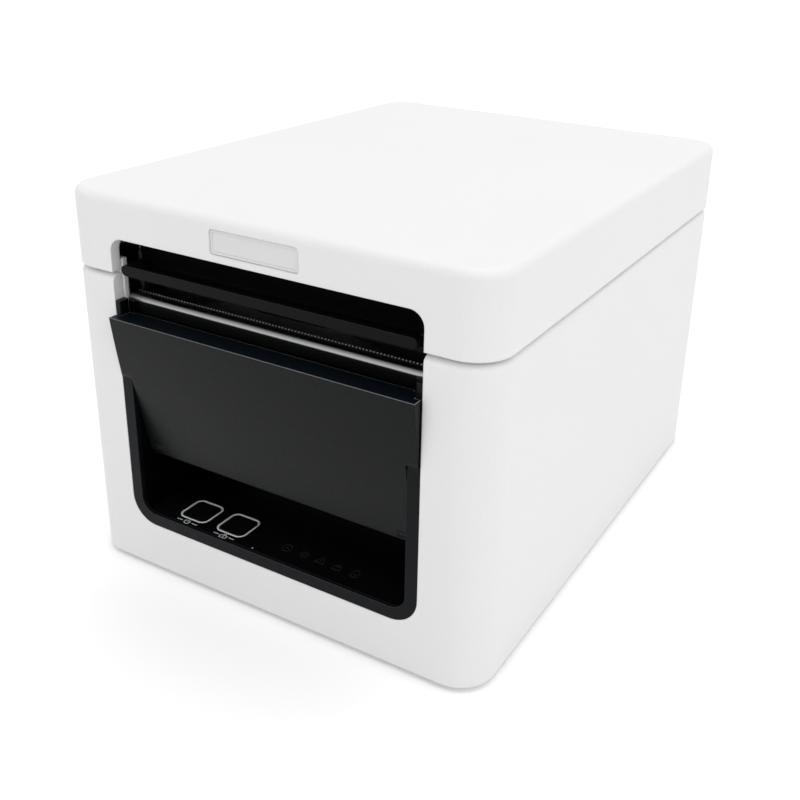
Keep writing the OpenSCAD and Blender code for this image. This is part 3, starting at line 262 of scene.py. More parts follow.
def screw(head_r: float, head_h: float, shank_r: float, shank_l: float) -> Shape:
    """Pan-head screw whose head stands up from the origin. Its top is the height field
    z = dome(r) less the depth of a cross, which is deepest at the middle.

    Args:
        head_r: radius of the head.
        head_h: height of the head.
        shank_r: radius of the shank.
        shank_l: length of the shank below the head.

    Returns:
        The screw as one closed surface.
    """
    steps = 48
    a = np.linspace(0, 2 * math.pi, steps, endpoint=False)[None, :]
    r = np.linspace(0.04, 1, 15)[:, None]
    x, y = r * np.cos(a), r * np.sin(a)
    arm = np.minimum(np.abs(x), np.abs(y))
    cross = np.clip((0.17 - arm) / 0.05, 0, 1) * np.clip((0.62 - r) / 0.08, 0, 1)
    top = head_h * (1 - 0.28 * r**4) - 0.55 * head_h * cross
    dome = np.stack([head_r * x, head_r * y, top], -1)[::-1]
    under = [
        (shank_r * 0.7, -shank_l),
        (shank_r, -shank_l + 0.4 * shank_r),
        (shank_r, 0),
        (head_r * 0.97, 0),
        (head_r, 0.08 * head_h),
    ]
    return skin(np.concatenate([revolved(under, steps), dome]))


def stroke(path: Array, width: float, low: float, high: float, closed: bool = False) -> Shape:
    """Flat line of even width: the path is offset half a width to each side, square to
    its direction, and the band between gets a thickness.

    Args:
        path: centre line in X and Y (n, 2).
        width: width of the line.
        low: level of the underside.
        high: level of the top.
        closed: whether the line meets its own start.

    Returns:
        The line as a closed surface.
    """
    if closed:
        travel = np.roll(path, -1, 0) - np.roll(path, 1, 0)
    else:
        travel = np.gradient(path, axis=0)
    travel /= np.linalg.norm(travel, axis=1, keepdims=True)
    side = travel[:, ::-1] * (1, -1) * width / 2
    corner = [(path + side, low), (path + side, high), (path - side, high), (path - side, low)]
    section = np.stack([np.column_stack([p, np.full(len(p), z)]) for p, z in corner], 1)
    if closed:
        return Shape(section[:, ::-1].reshape(-1, 3), list(lattice(len(path), 4, True, True)))
    return skin(section[:, ::-1])


def arc(radius: float, start: float, end: float, at: tuple[float, float] = (0, 0), steps: int = 24) -> Array:
    """Points (steps, 2) of a circle's arc between two angles in degrees."""
    a = np.radians(np.linspace(start, end, steps))
    return np.column_stack([at[0] + radius * np.cos(a), at[1] + radius * np.sin(a)])


def line(points: Sequence[tuple[float, float]], closed: bool = False) -> Array:
    """Points along straight runs, with extra ones near the corners so that these stay sharp.

    Args:
        points: the corners.
        closed: whether the line meets its own start.

    Returns:
        Points (n, 2).
    """
    p = np.asarray(points, float)
    start, end = (p, np.roll(p, -1, 0)) if closed else (p[:-1], p[1:])
    share = np.array([0.0, 0.03, 0.5, 0.97])[None, :, None]
    along = (start[:, None] + (end - start)[:, None] * share).reshape(-1, 2)
    return along if closed else np.vstack([along, p[-1:]])


# ------------------------------------------------------------------ shader maths


class Wire:
    """A shader output that takes part in Python expressions."""

    def __init__(self, paint: "Paint", socket: bpy.types.NodeSocket) -> None:
        """Keep the socket and the material it belongs to."""
        self.paint, self.socket = paint, socket

    def _do(self, operation: str, a: Value, b: Value = 0.0, clamp: bool = False) -> "Wire":
        """Add one Math node and return its result."""
        return self.paint.node(
            "ShaderNodeMath", {"operation": operation, "use_clamp": clamp}, {0: a, 1: b}
        )

    def __add__(self, other: Value) -> "Wire":
        """Sum."""
        return self._do("ADD", self, other)

    __radd__ = __add__

    def __mul__(self, other: Value) -> "Wire":
        """Product."""
        return self._do("MULTIPLY", self, other)

    __rmul__ = __mul__

    def __sub__(self, other: Value) -> "Wire":
        """Difference."""
        return self._do("SUBTRACT", self, other)

    def __rsub__(self, other: Value) -> "Wire":
        """Difference, with the wire second."""
        return self._do("SUBTRACT", other, self)

    def __pow__(self, other: float) -> "Wire":
        """Power."""
        return self._do("POWER", self, other)

    def above(self, level: float, soft: float) -> "Wire":
        """0 below a level, 1 above it, with a ramp of a given width."""
        return self._do("MULTIPLY", self - (level - soft / 2), 1 / soft, clamp=True)


class Paint:
    """A material that is being built."""

    def __init__(self, name: str) -> None:
        """Start an empty material with its output and its surface shader.

        Args:
            name: the material's name.
        """
        self.material = bpy.data.materials.new(name)
        self.material.use_nodes = True
        self.nodes = self.material.node_tree.nodes
        self.links = self.material.node_tree.links
        self.nodes.clear()
        self.out = self.nodes.new("ShaderNodeOutputMaterial")
        self.shader = self.nodes.new("ShaderNodeBsdfPrincipled")
        self.links.new(self.shader.outputs[0], self.out.inputs["Surface"])
        self.place = self.node("ShaderNodeTexCoord", {}, {}, "Object")

    def node(
        self,
        kind: str,
        settings: dict[str, object],
        inputs: dict[Union[int, str], object],
        output: Union[int, str] = 0,
    ) -> Wire:
        """Add a node.

        Args:
            kind: Blender's name for the type.
            settings: its properties.
            inputs: values or wires for its sockets.
            output: which output to return.

        Returns:
            That output as a wire.
        """
        made = self.nodes.new(kind)
        for key, value in settings.items():
            setattr(made, key, value)
        for key, value in inputs.items():
            self.feed(made.inputs[key], value)
        return Wire(self, made.outputs[output])

    def feed(self, socket: bpy.types.NodeSocket, value: object) -> None:
        """Link a wire to a socket, or set the socket to a number or colour.

        Args:
            socket: the input to feed.
            value: a wire, a number or a colour.
        """
        if isinstance(value, Wire):
            self.links.new(value.socket, socket)
        elif isinstance(value, (tuple, list)) and len(socket.default_value) == 4:
            socket.default_value = (*value[:3], 1)
        else:
            socket.default_value = value

    def surface(self, **inputs: object) -> None:
        """Set the surface shader's sockets, named with underscores for spaces."""
        for key, value in inputs.items():
            self.feed(self.shader.inputs[key.replace("_", " ")], value)

    def noise(self, scale: float, detail: float = 3.0, stretch: Colour = (1, 1, 1)) -> Wire:
        """Noise from 0 to 1, with its scale in cells per metre and a stretch by axis."""
        where = self.node("ShaderNodeMapping", {}, {"Vector": self.place, "Scale": stretch})
        return self.node("ShaderNodeTexNoise", {}, {"Vector": where, "Scale": scale, "Detail": detail})

    def cells(self, scale: float, output: str = "Distance") -> Wire:
        """Distance to the nearest of scattered points, or the cell's own value."""
        return self.node("ShaderNodeTexVoronoi", {}, {"Vector": self.place, "Scale": scale}, output)

    def mix(self, share: Value, a: object, b: object) -> Wire:
        """Blend of two colours."""
        return self.node("ShaderNodeMix", {"data_type": "RGBA"}, {0: share, 6: a, 7: b}, 2)

    def relief(self, height: Value, depth: float, rounding: float) -> Wire:
        """Normal for a height in units of depth metres, on edges rounded by a shading bevel."""
        edge = self.node("ShaderNodeBevel", {"samples": 4}, {"Radius": rounding})
        return self.node(
            "ShaderNodeBump", {}, {"Strength": 1.0, "Distance": depth, "Height": height, "Normal": edge}, "Normal"
        )

    def highlight_edge_mask(self, rounding: float) -> Wire:
        """Mask of a painted highlight: 1 on an edge that looks up and 0 elsewhere. A shading bevel's normal leaves
        the true one near an edge, and its height says where the edge looks.

        Args:
            rounding: radius of the bevel in metres.

        Returns:
            The mask of the painted highlight.
        """
        edge = self.node("ShaderNodeBevel", {"samples": 8}, {"Radius": rounding})
        flat = self.node("ShaderNodeNewGeometry", {}, {}, "True Normal")
        same = self.node("ShaderNodeVectorMath", {"operation": "DOT_PRODUCT"}, {0: edge, 1: flat}, "Value")
        up = self.node("ShaderNodeSeparateXYZ", {}, {0: edge}, "Z")
        return (1 - same).above(0.08, 0.12) * up.above(0.3, 0.3)

    def seen(self) -> Wire:
        """1 for what the camera sees, directly, in a reflection or through something clear.

        Returns:
            The mask.
        """
        kinds = ("Is Camera Ray", "Is Glossy Ray", "Is Transmission Ray")
        camera, glossy, clear = (self.node("ShaderNodeLightPath", {}, {}, kind) for kind in kinds)
        return (camera + glossy + clear).above(0.5, 1.0)

    def level(self, axis: str) -> Wire:
        """Height, depth or width of the shaded point in metres."""
        return self.node("ShaderNodeSeparateXYZ", {}, {0: self.place}, axis)


def tinted(colour: Colour, factor: float) -> Colour:
    """A colour made lighter or darker by a factor."""
    return tuple(min(1.0, c * factor) for c in colour)  # type: ignore[return-value]


# ------------------------------------------------------------------ finishes


class Finish:
    """Base of all finishes: each one can paint itself once and is then shared."""

    _made: dict[str, bpy.types.Material] = {}
    name: str

    def material(self) -> bpy.types.Material:
        """The finish's material, built at its first use."""
        if self.name not in Finish._made:
            paint = Paint(self.name)
            self.apply(paint)
            Finish._made[self.name] = paint.material
        return Finish._made[self.name]

    def apply(self, paint: Paint) -> None:
        """Build the surface; each finish has its own."""
        raise NotImplementedError


@dataclass(frozen=True)
class MouldedPlastic(Finish):
    """Moulded plastic with a spark-eroded grain of fine rounded dots. It may get a painted highlight on the edges
    that look up, and painted shade beyond a given place along one axis."""

    name: str
    colour: Colour
    roughness: float = 0.5
    gloss: float = 0.5
    grain: float = 1900.0
    depth: float = 0.00004
    edge: float = 0.0004
    # colour of the painted highlight on edges that look up
    painted_highlight: Colour | None = None
    # colour of the painted shade, then the axis and the place beyond which it is painted
    painted_shade_colour: Colour | None = None
    painted_shade_start: tuple[str, float] = ("Y", 0.0)

    def apply(self, paint: Paint) -> None:
        """Grain from fine noise, with a slow drift of tone and gloss.

        Args:
            paint: the material that is being built.
        """
        dots = paint.noise(self.grain, 2.0)
        slow = paint.noise(24.0, 2.0)
        grain = dots.above(0.5, 0.5)
        shade = paint.mix(slow * 0.5 + grain * 0.25, tinted(self.colour, 0.955), tinted(self.colour, 1.03))
        # painted shade: a darker colour beyond a place along one axis
        if self.painted_shade_colour:
            axis, start = self.painted_shade_start
            shade = paint.mix(paint.level(axis).above(start, 0.0004), shade, self.painted_shade_colour)
        # painted highlight: a paler colour on the edges that look up
        if self.painted_highlight:
            shade = paint.mix(paint.highlight_edge_mask(self.edge), shade, self.painted_highlight)
        paint.surface(
            Base_Color=shade,
            Roughness=self.roughness + (slow - 0.5) * 0.08 + (grain - 0.5) * 0.06,
            Specular_IOR_Level=self.gloss,
            Normal=paint.relief(grain, self.depth, self.edge),
        )


@dataclass(frozen=True)
class PolishedPlastic(Finish):
    """Glossy plastic with faint wiping marks."""

    name: str
    colour: Colour
    roughness: float = 0.06
    gloss: float = 0.5
    coat: float = 0.0

    def apply(self, paint: Paint) -> None:
        """Long soft streaks change the roughness, and a slow wave bends reflections a little.

        Args:
            paint: the material that is being built.
        """
        wave = paint.noise(60.0, 1.0)
        streak = paint.noise(900.0, 3.0, (0.08, 1, 1)).above(0.56, 0.2)
        paint.surface(
            Base_Color=paint.mix(wave, self.colour, tinted(self.colour, 1.25)),
            Roughness=self.roughness + streak * 0.05,
            Specular_IOR_Level=self.gloss,
            Coat_Weight=self.coat,
            Normal=paint.relief(wave, 0.00003, 0.0002),
        )


class Lay(Enum):
    """Direction in which a metal is brushed or drawn, as the stretch of its marks."""

    ALONG_X = (0.02, 1.0, 1.0)
    ALONG_Y = (1.0, 0.02, 1.0)
    ALONG_Z = (1.0, 1.0, 0.02)


@dataclass(frozen=True)
class Metal(Finish):
    """Ground, drawn or plated metal with marks along one direction."""

    name: str
    colour: Colour
    roughness: float = 0.3
    lay: Lay = Lay.ALONG_X
    marks: float = 2400.0
    plated: float = 0.0
    # heights of the painted shade: it fades in between the first and the second
    painted_shade_heights: tuple[float, float] | None = None

    def apply(self, paint: Paint) -> None:
        """Fine lines from stretched noise, with cloudy plating crystals where it is plated.
        Painted shade fades in between two heights and leaves it near black beyond the second.

        Args:
            paint: the material that is being built.
        """
        lines = paint.noise(self.marks, 3.0, self.lay.value)
        cloud = paint.cells(700.0, "Color") * self.plated + paint.noise(90.0) * 0.4
        shade = paint.mix(lines * 0.55 + cloud * 0.45, tinted(self.colour, 0.82), tinted(self.colour, 1.12))
        # painted shade: near black beyond the second height
        if self.painted_shade_heights:
            low, high = self.painted_shade_heights
            shade = paint.mix(paint.level("Z").above((low + high) / 2, high - low), shade, tinted(self.colour, 0.05))
        paint.surface(
            Base_Color=shade,
            Metallic=1.0,
            Roughness=self.roughness + (lines - 0.5) * 0.22 + (cloud - 0.3) * 0.08,
            Normal=paint.relief(lines, 0.000012, 0.00015),
        )


@dataclass(frozen=True)
class Rubber(Finish):
    """Ground or moulded rubber."""

    name: str
    colour: Colour
    grain: float = 3500.0

    def apply(self, paint: Paint) -> None:
        """Fine grain with paler dusty patches.

        Args:
            paint: the material that is being built.
        """
        grain = paint.noise(self.grain, 3.0)
        dust = paint.noise(120.0, 4.0).above(0.52, 0.3)
        paint.surface(
            Base_Color=paint.mix(dust * 0.5, self.colour, tinted(self.colour, 2.0)),
            Roughness=0.72 + dust * 0.12,
            Specular_IOR_Level=0.3,
            Normal=paint.relief(grain, 0.00005, 0.0002),
        )


@dataclass(frozen=True)
class CircuitBoard(Finish):
    """Green board with tracks under its solder mask and tinned pads."""

    name: str
    mask: Colour = (0.012, 0.085, 0.04)
    track: Colour = (0.03, 0.17, 0.075)

    def apply(self, paint: Paint) -> None:
        """Tracks where a brick pattern has its joints, and pads at scattered points.

        Args:
            paint: the material that is being built.
        """
        joints = paint.node(
            "ShaderNodeTexBrick",
            {"offset": 0.5},
            {"Vector": paint.place, "Color1": (0, 0, 0), "Color2": (0, 0, 0), "Mortar": (1, 1, 1),
             "Scale": 130.0, "Mortar Size": 0.04, "Brick Width": 0.9, "Row Height": 0.22},
        )
        pads = 1 - paint.cells(260.0).above(0.16, 0.03)
        paint.surface(
            Base_Color=paint.mix(pads, paint.mix(joints, self.mask, self.track), (0.6, 0.6, 0.58)),
            Metallic=pads,
            Roughness=0.28 + pads * 0.12,
            Normal=paint.relief(joints + pads, 0.00002, 0.0001),
        )


@dataclass(frozen=True)
class FlatCable(Finish):
    """Film cable with side-by-side conductors."""

    name: str
    film: Colour = (0.72, 0.69, 0.6)
    conductor: Colour = (0.42, 0.4, 0.34)
    pitch: float = 0.001

    def apply(self, paint: Paint) -> None:
        """A sine of X gives the conductors.

        Args:
            paint: the material that is being built.
        """
        bands = paint.node(
            "ShaderNodeTexWave",
            {"wave_type": "BANDS", "bands_direction": "X"},
            {"Vector": paint.place, "Scale": 1 / self.pitch / 3.14, "Distortion": 0.0},
            "Fac",
        )
        paint.surface(
            Base_Color=paint.mix(bands.above(0.5, 0.3), self.film, self.conductor),
            Roughness=0.3 + bands * 0.08,
            Normal=paint.relief(bands, 0.00005, 0.0001),
        )


@dataclass(frozen=True)
class Backdrop(Finish):
    """Pale studio floor."""

    name: str
    colour: Colour = (0.92, 0.92, 0.92)
    near: float = 0.2
    far: float = 0.5

    def apply(self, paint: Paint) -> None:
        """Matte white that is seen a little brighter than it lights the printer, most of all
        far away, so that it ends in white and keeps the printer's shadow.

        Args:
            paint: the material that is being built.
        """
        x, y = paint.level("X"), paint.level("Y")
        away = (x * x + y * y).above(1.0, 1.6)
        glow = paint.mix(away, (self.near,) * 3, (self.far,) * 3)
        paint.surface(
            Base_Color=self.colour,
            Roughness=0.9,
            Specular_IOR_Level=0.1,
            Emission_Color=paint.mix(paint.seen(), (0, 0, 0), glow),
            Emission_Strength=1.0,
        )


class Finishes:
    """Every finish of the printer."""

    CASE = MouldedPlastic("case_white", (0.85, 0.85, 0.852), 0.46, 0.42, 1700.0, 0.00003, 0.0005)
    PLATE = MouldedPlastic("plate_white", (0.76, 0.76, 0.763), 0.34, 0.5, 2600.0, 0.00002, 0.0002)
    # bezel: the paler colour on edges that look up is a painted highlight; near black behind y = -81.5 mm is painted
    # shade in the recess
    BEZEL = MouldedPlastic(
        "bezel_black", (0.0038, 0.0045, 0.0058), 0.3, 0.1, 2400.0, 0.00002, 0.0003,
        (0.06, 0.065, 0.075), (0.0006, 0.0007, 0.0009), ("Y", -0.0815),
    )
    # cutter cover: the pale blue-grey on edges that look up is a painted highlight; the darker, bluer colour above
    # 78.8 mm height is painted shade on its top
    COVER = MouldedPlastic(
        "cover_black", (0.0042, 0.0051, 0.0052), 0.36, 0.12, 1900.0, 0.00003, 0.0004,
        (0.30, 0.34, 0.38), (0.0016, 0.0036, 0.0058), ("Z", 0.0788),
    )
    # release bar: the paler colour on edges that look up is a painted highlight
    BAR = MouldedPlastic(
        "bar_black", (0.0014, 0.0018, 0.0024), 0.34, 0.09, 2400.0, 0.00002, 0.0004,
        (0.018, 0.021, 0.024),
    )
    # darker than black plastic: the carrier's own black with painted shade for the inside seen through the window
    INNER_BLACK_AND_SHADE = MouldedPlastic("inner_black_and_shade", (0.0008, 0.0009, 0.001), 0.55, 0.03, 1800.0, 0.00004, 0.0003)
    BAY = MouldedPlastic("bay_black", (0.011, 0.0113, 0.012), 0.5, 0.3, 1700.0, 0.00004, 0.0004)
    PANEL = PolishedPlastic("panel_gloss", (0.003, 0.003, 0.0036), 0.045, 0.45)
    KEY = PolishedPlastic("key_gloss", (0.004, 0.004, 0.0046), 0.07, 0.45)
    RING = PolishedPlastic("ring_light", (0.72, 0.74, 0.74), 0.3)
    PRINT = PolishedPlastic("print_light", (0.60, 0.62, 0.62), 0.45, 0.3)
    DIM = PolishedPlastic("print_dim", (0.013, 0.0135, 0.0145), 0.4, 0.3)
    STEEL = Metal("ground_steel", (0.60, 0.61, 0.62), 0.24)
    # exit strip: fading to near black between 82.6 and 84.2 mm height is painted shade and reflection on its curve
    STRIP = Metal("strip_steel", (0.40, 0.41, 0.40), 0.3, painted_shade_heights=(0.0826, 0.0842))
    # tear bar: near black below 84.4 mm height is painted shade on the plate under the teeth
    TEAR = Metal("tear_steel", (0.34, 0.35, 0.36), 0.3, painted_shade_heights=(0.0847, 0.0844))
    DARK = Metal("dark_steel", (0.045, 0.046, 0.048), 0.42, Lay.ALONG_X, 1500.0, 0.4)
    SHEET = Metal("sheet_steel", (0.50, 0.51, 0.52), 0.36, Lay.ALONG_Z, 1500.0, 0.8)
    SIDE = Metal("side_steel", (0.11, 0.112, 0.115), 0.42, Lay.ALONG_Z, 1500.0, 0.8)
    KNIFE = Metal("knife_steel", (0.66, 0.67, 0.68), 0.2, Lay.ALONG_Z, 3200.0)
    SPRING = Metal("spring_steel", (0.46, 0.46, 0.47), 0.3, Lay.ALONG_Z, 3000.0)
    SCREW = Metal("screw_steel", (0.44, 0.44, 0.45), 0.34, Lay.ALONG_X, 2000.0, 0.6)
    CAN = Metal("motor_can", (0.42, 0.43, 0.45), 0.33, Lay.ALONG_X, 1800.0, 0.5)
    ALUMINIUM = Metal("head_aluminium", (0.74, 0.75, 0.76), 0.34, Lay.ALONG_X, 1600.0)
    BRASS = Metal("gear_brass", (0.68, 0.48, 0.2), 0.3, Lay.ALONG_X, 2600.0)
    GOLD = Metal("contact_gold", (0.86, 0.62, 0.24), 0.18, Lay.ALONG_Y, 3000.0)
    SHELL = Metal("socket_shell", (0.6, 0.6, 0.6), 0.2, Lay.ALONG_Y, 1500.0, 0.5)
    NYLON = MouldedPlastic("natural_nylon", (0.74, 0.71, 0.62), 0.42, 0.5, 2600.0, 0.00002, 0.0001)
    CERAMIC = PolishedPlastic("head_ceramic", (0.06, 0.065, 0.07), 0.12)
    SOCKET = MouldedPlastic("socket_black", (0.016, 0.016, 0.017), 0.42, 0.4, 2600.0, 0.00002, 0.00015)
    PLATEN = Rubber("platen_rubber", (0.022, 0.022, 0.024))
    FOOT = Rubber("foot_rubber", (0.02, 0.02, 0.02), 2500.0)
    BOARD = CircuitBoard("board_green")
    CABLE = FlatCable("flat_cable")
    BASE = MouldedPlastic("base_paint", (0.02, 0.021, 0.022), 0.45, 0.4, 1500.0, 0.00003, 0.0003)
    FLOOR = Backdrop("studio_floor")


def dress(finish: Finish, *nodes: str) -> None:
    """Give CAD nodes a finish."""
    for name in nodes:
        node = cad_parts[name]
        node.data.materials.clear()
        node.data.materials.append(finish.material())
        LOG.info("dressed %s in %s", name, finish.name)


def make(name: str, shape: Shape, finish: Finish, body: str, smooth: float = 35.0) -> bpy.types.Object:
    """Turn a shape into a piece of the printer.

    Args:
        name: the piece's name.
        shape: its surface, in millimetres.
        finish: its finish.
        body: the CAD body that it rides on.
        smooth: edges sharper than this, in degrees, stay sharp.

    Returns:
        The new object.
    """
    mesh = bpy.data.meshes.new(name)
    mesh.from_pydata((shape.points * MM).tolist(), [], [f.tolist() for f in shape.faces])
    mesh.validate()
    mesh.shade_smooth()
    mesh.set_sharp_from_angle(angle=math.radians(smooth))
    mesh.materials.append(finish.material())
    piece = bpy.data.objects.new(name, mesh)
    bpy.context.scene.collection.objects.link(piece)
    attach(piece, body)
    LOG.info("made %s: %d faces", name, len(mesh.polygons))
    return piece


def span(node: str) -> tuple[Array, Array]:
    """Lowest and highest corner of a CAD node's box, in millimetres."""
    low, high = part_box(node)
    return np.array(low) / MM, np.array(high) / MM


ROUND_X = np.array([[0, 1, 0], [0, 0, 1], [1, 0, 0]])
ROUND_Y = np.array([[0, 0, 1], [1, 0, 0], [0, 1, 0]])
DOWN = np.array([[1, 0, 0], [0, -1, 0], [0, 0, -1]])
FRONTWARD = np.array([[1, 0, 0], [0, 0, 1], [0, -1, 0]])


# ------------------------------------------------------------------ sub-assemblies


@dataclass
class Case:
    """White lower case and lid, with the blank name plate, hinge and base."""

    foot_r: float = 6.0
    foot_at: tuple[float, ...] = (-50.0, 50.0)
    foot_rows: tuple[float, ...] = (-64.0, 67.0)
    plate_radius: float = 0.8
    plate_border: float = 0.6
    plate_groove: float = 0.2
    plate_edge: float = 0.12
    plate_step: float = 0.08

    def build(self) -> None:
        """Dress the shells, turn the feet and mould the plate."""
        dress(Finishes.CASE, "lower_case", "lid")
        dress(Finishes.STEEL, "hinge_pins")
        dress(Finishes.BASE, "base_plate")
        self.feet()
        self.plate()

    def feet(self) -> None:
        """Rubber feet with a rounded edge and a shallow dish underneath."""
        r, high = self.foot_r, span("rubber_feet")[1][2]
        one = turned([(r * 0.55, 0.25), (r * 0.7, 0.0), (r - 0.5, 0.0), (r - 0.12, 0.15), (r, 0.5), (r, high)])
        feet = together([one.placed((x, y, 0)) for x in self.foot_at for y in self.foot_rows])
        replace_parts(make("rubber_foot_set", feet, Finishes.FOOT, "case"), "rubber_feet")

    def plate(self) -> None:
        """Blank plate with a raised border round a sunk field."""
        low, high = span("name_plate")
        width, _, tall = high - low
        thick, b, g = high[1] - low[1], self.plate_border, self.plate_groove
        e = self.plate_edge
        section = [(0, 0), (0, thick - 0.1), (e, thick), (b, thick), (b + self.plate_step, thick - g)]
        shape = skin(outline_rings(width, tall, self.plate_radius, section))
        middle = (low + high) / 2
        placed = shape.placed((middle[0], high[1], middle[2]), FRONTWARD)
        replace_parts(make("plate_blank", placed, Finishes.PLATE, "lid", 25), "name_plate")


@dataclass
class Front:
    """Black bezel, cutter cover, paper exit and release bar."""

    def build(self) -> None:
        """Dress the pieces round the paper exit."""
        dress(Finishes.BEZEL, "front_bezel")
        dress(Finishes.COVER, "cutter_cover")
        dress(Finishes.STEEL, "cutter_cover_pins")
        dress(Finishes.TEAR, "tear_bar")
        dress(Finishes.STRIP, "exit_strip")
        dress(Finishes.BAR, "release_bar")


@dataclass
class Controls:
    """Key panel with two lit rings, pictograms and five dim status signs."""

    ring_line: float = 0.5
    ring_r: float = 2.3
    print_t: float = 0.04
    key_sign_y: float = -80.75
    sign_at: tuple[float, ...] = (2.2, 8.1, 13.5, 19.0, 24.7)
    sign_y: float = -76.0
    sign_scale: float = 1.6
    dot_at: tuple[float, float] = (-5.8, -81.1)
    panel_z: float = field(init=False)
    keys: list[Array] = field(init=False)

    def build(self) -> None:
        """Dress the panel and make its rings and printed signs."""
        self.panel_z = span("control_panel")[1][2]
        self.keys = [sum(span(node)) / 2 for node in ("power_key", "feed_key")]
        dress(Finishes.PANEL, "control_panel")
        dress(Finishes.KEY, "power_key", "feed_key")
        dress(Finishes.RING, "icon_light_guide")
        dress(Finishes.BOARD, "key_board")
        dress(Finishes.SOCKET, "key_switches")
        self.rings()
        self.key_signs()
        self.status_signs()

    def rings(self) -> None:
        """Light rings with a small chamfer, standing just proud of the panel."""
        low, high = span("key_light_rings")
        one = ring_slab(high[1] - low[1], self.ring_line, self.ring_r, low[2], high[2], 0.1)
        both = together([one.placed((x, y, 0)) for x, y, _ in self.keys])
        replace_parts(make("key_light_ring_set", both, Finishes.RING, "case"), "key_light_rings")

    def drawn(self, *strokes: tuple[Array, float, bool], scale: float = 1.0) -> Shape:
        """Flat printed sign from lines given as (path, width, closed), drawn at a scale."""
        low, high = self.panel_z - 0.1, self.panel_z + self.print_t
        return together([stroke(path * scale, width * scale, low, high, closed) for path, width, closed in strokes])

    def key_signs(self) -> None:
        """Power sign and paper-feed sign in front of the keys, each between two dashes."""
        w = 0.27
        dashes = [(line([(side * 1.7, 0), (side * 3.6, 0)]), w, False) for side in (-1, 1)]
        power = self.drawn((arc(0.85, 125, 415), w, False), (line([(0, 0.1), (0, 1.0)]), w, False), *dashes)
        feed = self.drawn(
            (line([(-0.5, 0.2), (-1.1, 0.2), (-1.1, -0.95), (1.1, -0.95), (1.1, 0.2), (0.5, 0.2)]), w, False),
            (line([(0, -0.5), (0, 0.9)]), w, False),
            (line([(-0.5, 0.45), (0, 0.98), (0.5, 0.45)]), w, False),
            *dashes,
        )
        both = together([sign.placed((x, self.key_sign_y, 0)) for sign, (x, _, _) in zip((power, feed), self.keys)])
        make("key_signs", both, Finishes.PRINT, "case")

    def status_signs(self) -> None:
        """Ring, sun, warning triangle, padlock and paper sheet, all unlit, and a small dot."""
        w = 0.15
        rays = [
            (line([tuple(0.72 * d), tuple(1.0 * d)]), w, False)
            for d in (np.array([math.cos(a), math.sin(a)]) for a in np.arange(8) * math.pi / 4)
        ]
        signs = [
            [(arc(0.9, 0, 345), w, False), (line([(-0.4, 0), (0.4, 0)]), w, False)],
            [(arc(0.45, 0, 345), w, False), *rays],
            [(line([(-0.95, -0.7), (0.95, -0.7), (0, 0.9)], True), w, True),
             (line([(0, -0.35), (0, 0.3)]), w, False)],
            [(line([(-0.75, -0.8), (0.75, -0.8), (0.75, 0.1), (-0.75, 0.1)], True), w, True),
             (arc(0.48, 0, 180, (0, 0.1)), w, False)],
            [(line([(-0.6, -0.9), (0.6, -0.9), (0.6, 0.4), (0.15, 0.9), (-0.6, 0.9)], True), w, True),
             (line([(-0.3, -0.2), (0.3, -0.2)]), w, False)],
        ]
        placed = [
            self.drawn(*strokes, scale=self.sign_scale).placed((x, self.sign_y, 0))
            for strokes, x in zip(signs, self.sign_at)
        ]
        make("status_signs", together(placed), Finishes.DIM, "case")
        dot = turned([(0.24, self.panel_z - 0.1), (0.24, self.panel_z + self.print_t)], 20)
        make("panel_dot", dot.placed((*self.dot_at, 0)), Finishes.PRINT, "case")


